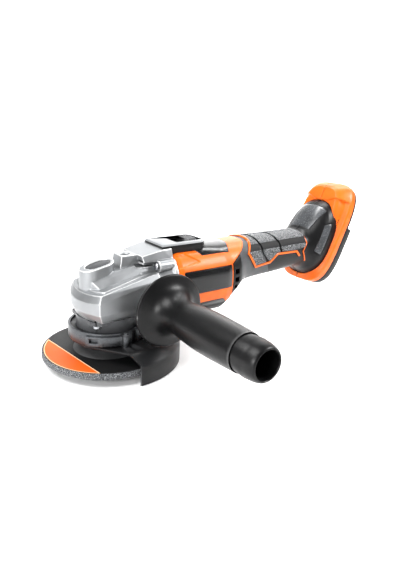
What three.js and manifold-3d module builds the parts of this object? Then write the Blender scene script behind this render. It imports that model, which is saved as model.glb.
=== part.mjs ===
// Cordless angle grinder with a 125 mm grinding wheel, an auxiliary side handle and a battery foot.
// Millimetres. The spindle turns about Z with its lower end face at the origin; +X runs back to the
// battery foot, -Y is the side the auxiliary handle is screwed to, +Z is up.
import * as THREE from "three";
import { mergeVertices } from "three/addons/utils/BufferGeometryUtils.js";
import { ConvexGeometry } from "three/addons/geometries/ConvexGeometry.js";
import Module from "manifold-3d";

const wasm = await Module();
wasm.setup();

// ---------------------------------------------------------------- driving dimensions
const FIT = 0.3; // gap between pieces that are fixed to each other
const RUN = 0.5; // gap beside a piece that turns or slides
const FAR = 400; // reach of a cutting block that has to pass the whole tool

// wheel, flanges and spindle
const WHEEL_R = 62.5;
const WHEEL_T = 6;
const WHEEL_BOTTOM = -2;
const WHEEL_RISE = 5; // how far the depressed centre stands above the rim
const WHEEL_HUB_R = 25; // flat of the depressed centre
const WHEEL_HUB_FOOT = 8; // radial run of its slope
const WHEEL_BORE_R = 11.1;
const CLAMP_R = 20; // inner flange and lock nut
const NUT_T = 2.4;
const FLANGE_T = 4.2;
const PILOT = 2; // depth that each flange's pilot enters the wheel bore
const THREAD_R = 7; // M14
const JOURNAL_R = 8.5;
const TOP_JOURNAL_R = 4.8;
const SPINDLE_TOP = 71;

// bevel gear pair
const MOTOR_Z = 58; // height of the motor axis
const GEAR_TEETH = 36;
const PINION_TEETH = 12;
const GEAR_PITCH_R = 23;
const FACE_WIDTH = 7;
const BACKLASH = 0.3;
const GEAR_DISH = 6.6; // depth of the gear's face at its bore, below the motor axis
const GEAR_BOTTOM = 44.5;
const LOCK_HOLE_R = 2.2;
const LOCK_CIRCLE_R = 13.5; // radius of the circle of lock holes
const LOCK_HOLES = 4;

// bearing flange under the gear head
const HEAD_BOTTOM = 40;
const NECK_R = 29.6;
const NECK_BOTTOM = 17;
const PLATE_T = 3.4;
const PLATE_HALF = 27.5;
const FLANGE_SCREW_AT = 22; // each flange screw's distance from the axis along X and Y
const LOWER_BEARING_R = 17.5;
const LOWER_BEARING_W = 11;

// guard
const GUARD_R = WHEEL_R + 7;
const GUARD_T = 1.8;
const GUARD_SIDES = 40;
const GUARD_TOP = 18;
const GUARD_FLAT_R = GUARD_R - 13;
const GUARD_DROP = 7.8; // height of the sloping shoulder
const GUARD_SKIRT = 19; // height of the skirt below the shoulder
const BAND_T = 2.2;
const BAND_TOP = 30.4;
const COLLAR_TOP = 28.5;
const COLLAR_T = 4.7;
const LEVER_FROM = -147; // degrees about the spindle
const LEVER_TO = -90;
const LEVER_T = 2.6;
const LEVER_LOW = 19.4;
const LEVER_HIGH = 28.6;

// gear head casting
const NOSE_R = 59;
const NOSE_CENTRE_X = 27;
const NOSE_HALF_ANGLE = 32; // degrees
const HEAD_BAND_Z = 57.6; // top of the nose's upright band at its front
const HEAD_SLOPE = 0.2;
const HEAD_SHOULDER = 6.4; // height of the chamfer above the band
const HEAD_INSET = 3;
const UNDERCUT = 3.4;
const HEAD_REAR_X = 60;
const HANDLE_X = 33.5;
const HANDLE_Z = 50.8;
const HANDLE_BOSS_Y = 37;
const HANDLE_BOSS_R = 10.5;
const HANDLE_HOLE_R = 4.3; // M8 thread
const HANDLE_HOLE_DEPTH = 13;
const TOP_HOLE_X = 18.5;
const TOP_BOSS_Z = 93;
const ROOF_HALF = 20;
const ROOF_FRONT_X = 27;
const ROOF_FRONT_Z = 93;
const ROOF_REAR_X = 48;
const ROOF_REAR_Z = 97;
const GEAR_CAVITY_R = 26.4;
const GEAR_CAVITY_TOP = 60.5;
const PINION_CAVITY_R = 11.5;
const FRONT_BEARING_X = 34;

// spindle lock
const BUTTON_X = -9;
const BUTTON_LENGTH = 23;
const BUTTON_WIDTH = 15.5;
const BUTTON_TRAVEL = 3;
const BUTTON_FLOOR = 76; // floor of the button's well
const PIN_R = 1.6;
const PAD_FRONT_Z = 83;
const PAD_FRONT_X = -27;
const PAD_HALF = 11.5;

// motor
const STATOR_R = 28.5;
const STATOR_BORE_R = 15.3;
const ROTOR_R = 14.6;
const SHAFT_R = 3.9;
const BEARING_W = 9;
const FRONT_BEARING_R = 13;
const REAR_BEARING_R = 9.5;
const FAN_R = 27;
const FAN_W = 9;
const FAN_BLADES = 7;

// motor barrel
const BARREL_LENGTH = 67;
const BARREL_HALF = 34.5; // half width
const BARREL_UP = 35.5; // reach above the motor axis
const BARREL_DOWN = 35;
const BARREL_WALL = 2.6;
const PANEL_T = 1.6; // thickness of the panels let into the barrel
const SCREW_Y = 21.6; // head screws, from the motor axis
const SCREW_Z = 24.2;
const RING_TOP_X = 28; // how far the raised top of the barrel runs back past its sides
const RING_RISE = 18; // height over which its slanted edge runs
const VENT_LENGTH = 12;

// switch
const FRAME_FRONT_X = 50;
const FRAME_REAR_X = 103;
const FRAME_HALF = 18;
const FRAME_TOP = 100.5;
const RECESS_FRONT_X = 70;
const RECESS_REAR_X = 98;
const RECESS_HALF = 11;
const SLIDER_LENGTH = 13;
const SLIDER_TRAVEL = 6;
const ROD_HALF = 3;
const ROD_T = 2;

// handle
const GRIP_LENGTH = 98;
const GRIP_HALF = 23;
const GRIP_UP = 22;
const GRIP_DOWN = 21;
const GRIP_Z = 71;
const SHELL_WALL = 2.6;
const PAD_T = 1.4; // thickness of the soft overmould

// battery foot
const FOOT_TILT = 25; // degrees that its plane leans back
const FOOT_REACH = 52.4; // from the end of the grip to the centre of the foot
const FOOT_Z = 85.6;
const FOOT_HALF_LENGTH = 62;
const FOOT_HALF_WIDTH = 36;
const FOOT_DEPTH = 22;
const BASE_T = 12;
const BASE_THIN = 3.4;
const BASE_STEP = 13; // where the thick part of the base ends, above the foot's centre
const RAIL_DEPTH = 6;
const RAIL_HALF = 25; // half width of the slot that the battery's rail slides along

// auxiliary handle, measured along its axis from the tool's centre plane
const FLANGE_R = 34.4;
const SIDE_GRIP_LENGTH = 132;
const HANDLE_BELLY_R = 18.4;
const HANDLE_NECK_R = 15.8;
const HANDLE_TIP_R = 15.8;
const HANDLE_HOLLOW_R = 12;
const STUD_R = 4;

// smaller pieces
const RACE = 4; // radial thickness of a bearing ring
const LOWER_BEARING_Z = 23.5;
const BUSH_R = 7.6;
const SPRING_R = 3;
const SPRING_SEAT = 66;
const SCREW_FRONT_X = 42;
const LEVER_PIN_R = 1.6;

// ---------------------------------------------------------------- derived places
const BARREL_END = HEAD_REAR_X + BARREL_LENGTH;
const NECK_X = BARREL_END + VENT_LENGTH;
const GRIP_END = NECK_X + GRIP_LENGTH;
const FOOT_X = GRIP_END + FOOT_REACH;
const BARREL_TOP = MOTOR_Z + BARREL_UP;
const WHEEL_TOP = WHEEL_BOTTOM + WHEEL_T;
const HUB_BOTTOM = WHEEL_BOTTOM + WHEEL_RISE;
const HUB_TOP = HUB_BOTTOM + WHEEL_T;
const SHOULDER_Z = HUB_TOP + FIT + FLANGE_T; // spindle shoulder that the inner flange seats on
// the side handle's flange clears the guard's slope at the flange's lowest point
const FLANGE_LOW = HANDLE_Z - FLANGE_R;
const GUARD_AT_FLANGE = GUARD_FLAT_R + ((GUARD_TOP - FLANGE_LOW) * (GUARD_R - GUARD_FLAT_R)) / GUARD_DROP;
const FLANGE_AT = Math.max(HANDLE_BOSS_Y + 8, Math.sqrt(GUARD_AT_FLANGE ** 2 - HANDLE_X ** 2) + 5.2);
const HANDLE_END = FLANGE_AT + SIDE_GRIP_LENGTH;
const FLANGE_SCREW_LOW = HEAD_BOTTOM - FIT - PLATE_T - 2.4;
const BAND_IN = NECK_R + RUN - 0.1 + COLLAR_T + FIT;
const BAND_OUT = BAND_IN + BAND_T;
const LEVER_IN = BAND_OUT + RUN;
const LEVER_PIN_ANGLE = LEVER_TO - 4;
const LEVER_PIN_OFF = LEVER_IN + 2.8; // distance of the lever's pin from the spindle axis
const MOTOR_FRONT_X = HEAD_REAR_X + 12;
const STATOR_END_X = BARREL_END - 22;
const REAR_BEARING_X = BARREL_END - 9;
const LABEL_FRONT = HEAD_REAR_X + 6;
const SLIDER_REAR = RECESS_REAR_X - 1;
const RECESS_FLOOR = BARREL_TOP + 2;
const ROD_Z = MOTOR_Z + STATOR_R + 1; // underside of the switch rod
const MICRO_X = NECK_X + 8;
const LOCK_PIN_TIP = MOTOR_Z - 5;
const CONE = Math.hypot(GEAR_PITCH_R, (GEAR_PITCH_R * PINION_TEETH) / GEAR_TEETH);

// ---------------------------------------------------------------- helpers
const radians = THREE.MathUtils.degToRad;
const at = (x, y, z) => new THREE.Vector3(x, y, z);

function solid(geometry) {
  const bare = geometry.clone();
  bare.deleteAttribute("normal");
  bare.deleteAttribute("uv");
  const merged = mergeVertices(bare, 1e-4);
  return new wasm.Manifold(
    new wasm.Mesh({
      numProp: 3,
      vertProperties: merged.attributes.position.array,
      triVerts: new Uint32Array(merged.index.array),
    }),
  );
}

function geometryOf(manifold) {
  const mesh = manifold.getMesh();
  const geometry = new THREE.BufferGeometry();
  geometry.setAttribute("position", new THREE.BufferAttribute(mesh.vertProperties, 3));
  geometry.setIndex(new THREE.BufferAttribute(mesh.triVerts, 1));
  geometry.computeVertexNormals();
  return geometry;
}

const join = (...solids) => solids.reduce((a, b) => a.add(b));
const cut = (body, ...tools) => tools.reduce((a, b) => a.subtract(b), body);

function block(x0, x1, y0, y1, z0, z1) {
  const box = new THREE.BoxGeometry(x1 - x0, y1 - y0, z1 - z0);
  return solid(box.translate((x0 + x1) / 2, (y0 + y1) / 2, (z0 + z1) / 2));
}

// A round bar between two points on a line parallel to X, Y or Z.
function bar(from, to, radius, sides = 16, endRadius = radius) {
  const span = new THREE.Vector3().subVectors(to, from);
  const shape = new THREE.CylinderGeometry(endRadius, radius, span.length(), sides);
  shape.translate(0, span.length() / 2, 0);
  const turn = new THREE.Quaternion().setFromUnitVectors(at(0, 1, 0), span.clone().normalize());
  return solid(shape.applyQuaternion(turn).translate(from.x, from.y, from.z));
}

// A turned shape about Z. The profile is a list of [radius, height], up the outside and back to the axis
// or to its own first point.
function turned(profile, sides = 32) {
  const points = profile.map(([radius, height]) => new THREE.Vector2(radius, height));
  const closed = profile[0][0] > 0;
  if (closed) points.push(points[0].clone());
  return solid(new THREE.LatheGeometry(points, sides).rotateX(Math.PI / 2));
}

const hull = (points) => solid(new ConvexGeometry(points));

// An outline in plan, extruded from z0 to z1.
function planBlock(outline, z0, z1) {
  const shape = new THREE.Shape(outline.map(([x, y]) => new THREE.Vector2(x, y)));
  const geometry = new THREE.ExtrudeGeometry(shape, { depth: z1 - z0, bevelEnabled: false });
  return solid(geometry.translate(0, 0, z0));
}

// An outline in the side view, as [x, z], extruded from y0 to y1.
function sideBlock(outline, y0, y1) {
  const shape = new THREE.Shape(outline.map(([x, z]) => new THREE.Vector2(x, z)));
  const geometry = new THREE.ExtrudeGeometry(shape, { depth: y1 - y0, bevelEnabled: false });
  return solid(geometry.rotateX(Math.PI / 2).translate(0, y1, 0));
}

// A rounded cross-section: half width and reaches up and down from its centre, leaning back by tilt.
function section(x, z, half, up, down, { tilt = 0, power = 2.6, points = 24 } = {}) {
  const lean = radians(tilt);
  const swell = (value) => Math.sign(value) * Math.abs(value) ** (2 / power);
  return Array.from({ length: points }, (_, i) => {
    const angle = (2 * Math.PI * i) / points;
    const rise = swell(Math.sin(angle));
    const v = rise * (rise > 0 ? up : down);
    return at(x + v * Math.sin(lean), half * swell(Math.cos(angle)), z + v * Math.cos(lean));
  });
}

// A closed skin over a row of cross-sections that all have the same number of points.
function loft(rings) {
  const count = rings[0].length;
  const positions = [];
  const index = [];
  const corner = (ring, i) => ring * count + (i % count);
  rings.forEach((ring) => ring.forEach((p) => positions.push(p.x, p.y, p.z)));
  for (let r = 0; r + 1 < rings.length; r++) {
    for (let i = 0; i < count; i++) {
      const [a, b] = [corner(r, i), corner(r, i + 1)];
      const [c, d] = [corner(r + 1, i), corner(r + 1, i + 1)];
      index.push(a, b, d, a, d, c);
    }
  }
  const last = rings.length - 1;
  [0, last].forEach((ring) => {
    const centre = rings[ring].reduce((sum, p) => sum.add(p), at(0, 0, 0)).divideScalar(count);
    positions.push(centre.x, centre.y, centre.z);
    const hub = positions.length / 3 - 1;
    for (let i = 0; i < count; i++) {
      const [a, b] = [corner(ring, i), corner(ring, i + 1)];
      if (ring === 0) index.push(hub, b, a);
      else index.push(hub, a, b);
    }
  });
  const geometry = new THREE.BufferGeometry();
  geometry.setAttribute("position", new THREE.Float32BufferAttribute(positions, 3));
  geometry.setIndex(index);
  return solid(geometry);
}

// Keeps the tool's left half (side -1) or right half (side 1).
function halfOf(body, side) {
  const [y0, y1] = side < 0 ? [-FAR, -FIT / 2] : [FIT / 2, FAR];
  return body.intersect(block(-FAR, FAR, y0, y1, -FAR, FAR));
}

// ---------------------------------------------------------------- materials
const finish = (color, roughness, metalness) =>
  new THREE.MeshStandardMaterial({ color, roughness, metalness });

const CAST = finish(0xb4b6b8, 0.42, 0.9);
const STEEL = finish(0x9a9ca0, 0.35, 1);
const BLACK_STEEL = finish(0x1c1d1e, 0.5, 0.6);
const ORANGE = finish(0xe8741a, 0.42, 0);
const BLACK = finish(0x202122, 0.5, 0);
const GREY = finish(0x4a4c4e, 0.5, 0);
const SOFT = finish(0x2c2d2e, 0.85, 0);
const GRIT = finish(0x4c4c4e, 0.95, 0);
const COPPER = finish(0xa8542c, 0.45, 0.9);
const BOARD = finish(0x1f4a35, 0.6, 0);

const tool = new THREE.Group();

function add(name, body, material, place) {
  const geometry = body.isBufferGeometry ? body : geometryOf(body);
  const mesh = new THREE.Mesh(geometry, material);
  mesh.name = name;
  if (place) mesh.position.copy(place);
  tool.add(mesh);
  return mesh;
}

// ---------------------------------------------------------------- spindle group
function spindle() {
  return turned([
    [0, 0],
    [THREAD_R, 0],
    [THREAD_R, SHOULDER_Z],
    [JOURNAL_R, SHOULDER_Z],
    [JOURNAL_R, GEAR_BOTTOM + 12],
    [TOP_JOURNAL_R, GEAR_BOTTOM + 14],
    [TOP_JOURNAL_R, SPINDLE_TOP],
    [0, SPINDLE_TOP],
  ], 24);
}

function grindingWheel() {
  const slope = WHEEL_HUB_R + WHEEL_HUB_FOOT;
  return turned([
    [WHEEL_BORE_R, HUB_BOTTOM],
    [WHEEL_HUB_R, HUB_BOTTOM],
    [slope, WHEEL_BOTTOM],
    [WHEEL_R, WHEEL_BOTTOM],
    [WHEEL_R, WHEEL_TOP],
    [slope, WHEEL_TOP],
    [WHEEL_HUB_R, HUB_TOP],
    [WHEEL_BORE_R, HUB_TOP],
  ], 40);
}

function innerFlange() {
  const low = HUB_TOP + FIT;
  const bore = THREAD_R + FIT;
  const pilot = WHEEL_BORE_R - FIT;
  return turned([
    [bore, low - PILOT],
    [pilot, low - PILOT],
    [pilot, low],
    [CLAMP_R, low],
    [CLAMP_R, low + 2],
    [pilot, SHOULDER_Z],
    [bore, SHOULDER_Z],
  ], 20);
}

function lockNut() {
  const high = HUB_BOTTOM - FIT;
  const low = high - NUT_T;
  const bore = THREAD_R + FIT;
  const pilot = WHEEL_BORE_R - FIT;
  const nut = turned([
    [bore, low],
    [CLAMP_R - 1, low],
    [CLAMP_R, low + 1],
    [CLAMP_R, high],
    [pilot, high],
    [pilot, high + PILOT],
    [bore, high + PILOT],
  ], 20);
  // four blind holes for the pin spanner
  const holes = [0, 1, 2, 3].map((quarter) => {
    const angle = (quarter * Math.PI) / 2;
    const x = 15 * Math.cos(angle);
    const y = 15 * Math.sin(angle);
    return bar(at(x, y, low - 1), at(x, y, low + 1.6), 2.4, 6);
  });
  return cut(nut, ...holes);
}

// ---------------------------------------------------------------- bevel gears
// A toothed ring with its apex at the origin and its axis along +Z. The teeth are involute on the back
// cone and shrink towards the apex. The ring runs in to a bore, whose ends lie at two given depths.
function bevelTeeth(teeth, mateTeeth, flankSteps, boreR, backDepth, frontDepth) {
  const cone = Math.atan2(teeth, mateTeeth);
  const pitchR = CONE * Math.sin(cone);
  const module = (2 * pitchR) / teeth;
  const virtualR = pitchR / Math.cos(cone);
  const pressure = radians(20);
  const baseR = virtualR * Math.cos(pressure);
  const involute = (angle) => Math.tan(angle) - angle;
  const halfAt = (height) => {
    const r = virtualR + height;
    const angle = r > baseR ? Math.acos(baseR / r) : 0;
    const pitchHalf = (Math.PI * module) / 4 - BACKLASH / 2;
    const half = pitchHalf / virtualR + involute(pressure) - involute(angle);
    return (half * r) / (pitchR + height * Math.cos(cone));
  };
  const [root, tip] = [-1.25 * module, 0.9 * module];
  const rising = Array.from({ length: flankSteps + 1 }, (_, i) => {
    const height = root + ((tip - root) * i) / flankSteps;
    return [-halfAt(height), height];
  });
  const falling = rising.map(([angle, height]) => [-angle, height]).reverse();
  const tooth = [...rising, ...falling];
  const centres = Array.from({ length: teeth }, (_, i) => (2 * Math.PI * i) / teeth);
  const toothed = (scale) =>
    centres.flatMap((centre) =>
      tooth.map(([angle, height]) => {
        const r = scale * (pitchR + height * Math.cos(cone));
        const z = scale * (CONE * Math.cos(cone) - height * Math.sin(cone));
        return [r * Math.cos(centre + angle), r * Math.sin(centre + angle), z];
      }),
    );
  const bore = (z) => centres.map((centre) => [boreR * Math.cos(centre), boreR * Math.sin(centre), z]);
  const front = 0;
  const back = teeth * tooth.length;
  const boreFront = 2 * back;
  const boreBack = boreFront + teeth;
  const index = [];
  const quad = (a, b, c, d) => index.push(a, b, c, a, c, d);
  for (let t = 0; t < teeth; t++) {
    const nextT = (t + 1) % teeth;
    for (let i = 0; i < tooth.length; i++) {
      const k = t * tooth.length + i;
      const next = (k + 1) % back;
      quad(front + k, front + next, back + next, back + k);
      index.push(boreFront + t, front + next, front + k);
      index.push(boreBack + t, back + k, back + next);
    }
    index.push(boreFront + t, boreFront + nextT, front + nextT * tooth.length);
    index.push(boreBack + t, back + nextT * tooth.length, boreBack + nextT);
    quad(boreFront + t, boreBack + t, boreBack + nextT, boreFront + nextT);
  }
  const positions = [
    ...toothed(1 - FACE_WIDTH / CONE), ...toothed(1), ...bore(frontDepth), ...bore(backDepth),
  ];
  const geometry = new THREE.BufferGeometry();
  geometry.setAttribute("position", new THREE.Float32BufferAttribute(positions.flat(), 3));
  geometry.setIndex(index);
  return geometry;
}

function bevelGear() {
  const backDepth = MOTOR_Z - GEAR_BOTTOM;
  const teeth = bevelTeeth(GEAR_TEETH, PINION_TEETH, 1, JOURNAL_R + FIT, backDepth, GEAR_DISH);
  // the apex is on the motor axis and the gear hangs below it
  const body = solid(teeth.rotateX(Math.PI).translate(0, 0, MOTOR_Z));
  const holes = Array.from({ length: LOCK_HOLES }, (_, i) => {
    const angle = Math.PI + (2 * Math.PI * i) / LOCK_HOLES;
    const x = LOCK_CIRCLE_R * Math.cos(angle);
    const y = LOCK_CIRCLE_R * Math.sin(angle);
    return bar(at(x, y, GEAR_BOTTOM - 1), at(x, y, MOTOR_Z), LOCK_HOLE_R, 8);
  });
  return cut(body, ...holes);
}

function pinion() {
  const outer = CONE * Math.cos(Math.atan2(PINION_TEETH, GEAR_TEETH));
  const boreR = SHAFT_R + FIT / 2;
  const teeth = bevelTeeth(PINION_TEETH, GEAR_TEETH, 2, boreR, outer + 1, outer - FACE_WIDTH);
  // half a tooth pitch round, so that a gap faces the gear's tooth below
  teeth.rotateZ(Math.PI / PINION_TEETH);
  const cone = solid(teeth.rotateY(Math.PI / 2).translate(0, 0, MOTOR_Z));
  const hub = ring(6, boreR, FRONT_BEARING_X - RUN - outer, PINION_TEETH);
  return join(cone, hub.rotate([0, 90, 0]).translate([outer, 0, MOTOR_Z]));
}

// ---------------------------------------------------------------- bearings
function ring(outer, inner, width, sides = 20) {
  return turned([[inner, 0], [outer, 0], [outer, width], [inner, width]], sides);
}

function bearingFlange() {
  const seat = LOWER_BEARING_R + FIT;
  const neck = turned([
    [JOURNAL_R + RACE + 1, NECK_BOTTOM],
    [NECK_R, NECK_BOTTOM],
    [NECK_R, HEAD_BOTTOM - FIT],
    [seat, HEAD_BOTTOM - FIT],
    [seat, LOWER_BEARING_Z - FIT],
    [JOURNAL_R + RACE + 1, LOWER_BEARING_Z - FIT],
  ], 28);
  const low = HEAD_BOTTOM - FIT - PLATE_T;
  const half = PLATE_HALF;
  const clip = half - 8;
  const plate = planBlock([
    [-half, -clip], [-clip, -half], [clip, -half], [half, -clip],
    [half, clip], [clip, half], [-clip, half], [-half, clip],
  ], low, HEAD_BOTTOM - FIT);
  const bore = bar(at(0, 0, low - 1), at(0, 0, HEAD_BOTTOM + 1), seat, 28);
  return cut(join(neck, cut(plate, bore)), ...flangeScrewHoles());
}

const cornerSigns = [[-1, -1], [1, -1], [1, 1], [-1, 1]];

function flangeScrewHoles() {
  return cornerSigns.flatMap(([sx, sy]) => {
    const [x, y] = [sx * FLANGE_SCREW_AT, sy * FLANGE_SCREW_AT];
    return [
      bar(at(x, y, HEAD_BOTTOM - 12), at(x, y, HEAD_BOTTOM + 11), 1.9 + FIT, 8),
      bar(at(x, y, FLANGE_SCREW_LOW - FIT), at(x, y, HEAD_BOTTOM - FIT - PLATE_T), 3.4 + FIT, 8),
    ];
  });
}

function flangeScrew() {
  const head = bar(at(0, 0, 0), at(0, 0, 2.4), 3.4, 8);
  const shank = bar(at(0, 0, 2.4 - FIT), at(0, 0, 15), 1.9, 8);
  const socket = bar(at(0, 0, -1), at(0, 0, 1.4), 1.5, 6);
  return cut(join(head, shank), socket);
}

// ---------------------------------------------------------------- guard
function guard() {
  const low = GUARD_TOP - GUARD_T;
  const shoulder = GUARD_TOP - GUARD_DROP;
  const bottom = shoulder - GUARD_SKIRT;
  const collarIn = NECK_R + RUN - 0.1;
  const cover = turned([
    [collarIn, low],
    [GUARD_FLAT_R - 0.6, low],
    [GUARD_R - GUARD_T, shoulder - 0.8],
    [GUARD_R - GUARD_T, bottom],
    [GUARD_R, bottom],
    [GUARD_R, shoulder],
    [GUARD_FLAT_R, GUARD_TOP],
    [collarIn, GUARD_TOP],
  ], GUARD_SIDES);
  const front = [[-3.2, GUARD_R - 1.5], [-7.4, GUARD_FLAT_R - 0.5], [-32.7, 18.7]];
  const keep = [
    ...front.map(([x, y]) => [x, -y]).reverse(),
    [-3.2, -FAR], [FAR, -FAR], [FAR, FAR], [-3.2, FAR],
    ...front,
  ];
  const outline = [[-36, 0], ...keep];
  const half = cover.intersect(planBlock(outline, -FAR, FAR));
  const collar = turned([
    [collarIn, low],
    [collarIn + COLLAR_T, low],
    [collarIn + COLLAR_T, COLLAR_TOP],
    [collarIn, COLLAR_TOP],
  ], GUARD_SIDES);
  return join(half, collar);
}

const onCircle = (radius, degrees) => [
  radius * Math.cos(radians(degrees)),
  radius * Math.sin(radians(degrees)),
];

// A curved bar about Z between two radii and two angles in degrees.
function arcBlock(inner, outer, from, to, low, high, steps = 12) {
  const along = (radius, back) =>
    Array.from({ length: steps + 1 }, (_, i) => {
      const t = back ? 1 - i / steps : i / steps;
      return onCircle(radius, from + (to - from) * t);
    });
  return planBlock([...along(outer, false), ...along(inner, true)], low, high);
}

function guardBand() {
  // an open ring, with an upright ear at each side of its gap
  const gap = LEVER_PIN_ANGLE + 17;
  const band = arcBlock(BAND_IN, BAND_OUT, gap + 5, gap + 355, GUARD_TOP + FIT, BAND_TOP, 36);
  const [px, py] = onCircle(LEVER_PIN_OFF, LEVER_PIN_ANGLE);
  const [rootX, rootY] = onCircle(LEVER_PIN_OFF - 2, LEVER_PIN_ANGLE);
  const knuckle = (z0, z1) =>
    join(
      bar(at(px, py, z0), at(px, py, z1), 3, 10),
      bar(at(rootX, rootY, z0), at(rootX, rootY, z1), 3, 10),
    );
  const upper = knuckle(LEVER_HIGH + FIT, BAND_TOP);
  const lower = knuckle(GUARD_TOP + FIT, LEVER_LOW - FIT);
  const bore = bar(at(px, py, 0), at(px, py, 60), LEVER_PIN_R + FIT / 2, 8);
  const inside = bar(at(0, 0, 0), at(0, 0, 60), BAND_IN, 36);
  return cut(join(band, cut(join(upper, lower), inside)), bore);
}

function guardLever() {
  const arm = arcBlock(LEVER_IN, LEVER_IN + LEVER_T, LEVER_FROM, LEVER_TO - 4, LEVER_LOW, LEVER_HIGH, 10);
  const [px, py] = onCircle(LEVER_PIN_OFF, LEVER_PIN_ANGLE);
  const eye = bar(at(px, py, LEVER_LOW), at(px, py, LEVER_HIGH), 3, 10);
  const clear = bar(at(0, 0, 0), at(0, 0, 60), LEVER_IN - 0.1, 36);
  const bore = bar(at(px, py, 0), at(px, py, 60), LEVER_PIN_R + RUN / 2, 8);
  const slotFrom = LEVER_FROM + 5;
  const slot = arcBlock(LEVER_IN - 4, LEVER_IN + 8, slotFrom, slotFrom + 12, 22.2, 26.6, 4);
  return cut(join(arm, cut(eye, clear)), bore, slot);
}

function leverPin() {
  const [px, py] = onCircle(LEVER_PIN_OFF, LEVER_PIN_ANGLE);
  const low = GUARD_TOP + FIT;
  return bar(at(px, py, low), at(px, py, BAND_TOP + 0.8), LEVER_PIN_R, 8);
}

// ---------------------------------------------------------------- gear head casting
const headTilt = (x) => HEAD_SLOPE * (x + NOSE_R - NOSE_CENTRE_X);

function noseArc(radius, steps = 8) {
  return Array.from({ length: steps + 1 }, (_, i) => {
    const angle = radians(180 - NOSE_HALF_ANGLE + (2 * NOSE_HALF_ANGLE * i) / steps);
    return [NOSE_CENTRE_X + radius * Math.cos(angle), radius * Math.sin(angle)];
  });
}

function headBody() {
  const rear = 40;
  const corner = NOSE_R * Math.sin(radians(NOSE_HALF_ANGLE));
  const outline = (inset) => [
    ...noseArc(NOSE_R - inset),
    [rear, -(corner - inset * 1.2)],
    [rear, corner - inset * 1.2],
  ];
  const level = (inset, height) => outline(inset).map(([x, y]) => at(x, y, height(x)));
  return hull([
    ...level(UNDERCUT, () => HEAD_BOTTOM),
    ...level(0, () => HEAD_BOTTOM + 8),
    ...level(0, (x) => HEAD_BAND_Z + headTilt(x)),
    ...level(HEAD_INSET, (x) => HEAD_BAND_Z + HEAD_SHOULDER + headTilt(x)),
  ]);
}

function headBlock() {
  // the raised middle of the casting, over the gears
  const points = [];
  [-1, 1].forEach((side) => {
    points.push(at(-16, 19 * side, 60), at(40, 19 * side, 60));
    points.push(at(-16, 19 * side, 66.2), at(40, 19 * side, 76));
    points.push(at(-8.2, 13.1 * side, 74), at(40, 13.1 * side, 86.5));
  });
  return hull(points);
}

const padTop = (x) => PAD_FRONT_Z + HEAD_SLOPE * (x - PAD_FRONT_X);

function padOutline(length, half, centreX, steps = 4) {
  const straight = length / 2 - half;
  const end = (side) =>
    Array.from({ length: steps * 2 + 1 }, (_, i) => {
      const angle = (side > 0 ? -90 : 90) + (180 * i) / (steps * 2);
      const [x, y] = onCircle(half, angle);
      return [centreX + side * straight + x, y];
    });
  return [...end(1), ...end(-1)];
}

function lockPad() {
  const length = 2 * (BUTTON_X - PAD_FRONT_X) - 3;
  const outline = padOutline(length, PAD_HALF, PAD_FRONT_X + length / 2);
  const points = outline.flatMap(([x, y]) => [at(x, y, 60), at(x, y, padTop(x))]);
  return hull(points);
}

function topBoss() {
  const points = [];
  [-1, 1].forEach((side) => {
    points.push(at(8, 9.5 * side, 72), at(34, 11 * side, 72));
    points.push(at(11, 8.5 * side, TOP_BOSS_Z), at(30, 8.5 * side, TOP_BOSS_Z));
  });
  return hull(points);
}

function headRoof() {
  const points = [];
  [-1, 1].forEach((side) => {
    const edge = ROOF_HALF * side;
    points.push(at(ROOF_FRONT_X + 4, edge, 76), at(HEAD_REAR_X, edge * 1.05, 76));
    points.push(at(ROOF_FRONT_X + 2, edge, ROOF_FRONT_Z - 7));
    points.push(at(HEAD_REAR_X, edge * 1.05, ROOF_FRONT_Z - 6));
    points.push(at(ROOF_FRONT_X, edge * 0.9, ROOF_FRONT_Z), at(ROOF_REAR_X, edge, ROOF_REAR_Z));
    points.push(at(HEAD_REAR_X, edge * 0.9, ROOF_REAR_Z));
  });
  return hull(points);
}

function headShroud() {
  const half = BARREL_HALF - 0.5;
  return loft([
    section(26, 60, 29, 22, 19.5),
    section(44, MOTOR_Z + 1, 31, 23, 25),
    section(HEAD_REAR_X - 5, MOTOR_Z, half - 1, BARREL_UP - 7, BARREL_DOWN - 1.5),
    section(HEAD_REAR_X - 3, MOTOR_Z, half, BARREL_UP - 1, BARREL_DOWN - 1),
    section(HEAD_REAR_X, MOTOR_Z, half, BARREL_UP - 1, BARREL_DOWN - 1),
  ]);
}

const screwPlaces = cornerSigns.map(([sy, sz]) => [sy * SCREW_Y, MOTOR_Z + sz * SCREW_Z]);

function gearHousing() {
  const posts = screwPlaces.map(([y, z]) =>
    bar(at(SCREW_FRONT_X, y, z), at(HEAD_REAR_X, y, z), 5.6, 10),
  );
  const bosses = [-1, 1].map((side) =>
    bar(at(HANDLE_X, 20 * side, HANDLE_Z), at(HANDLE_X, HANDLE_BOSS_Y * side, HANDLE_Z), HANDLE_BOSS_R, 16),
  );
  const outside = join(
    headBody(), headBlock(), lockPad(), topBoss(), headRoof(), headShroud(), ...posts, ...bosses,
  );
  return cut(outside, ...headCavities());
}

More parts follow.
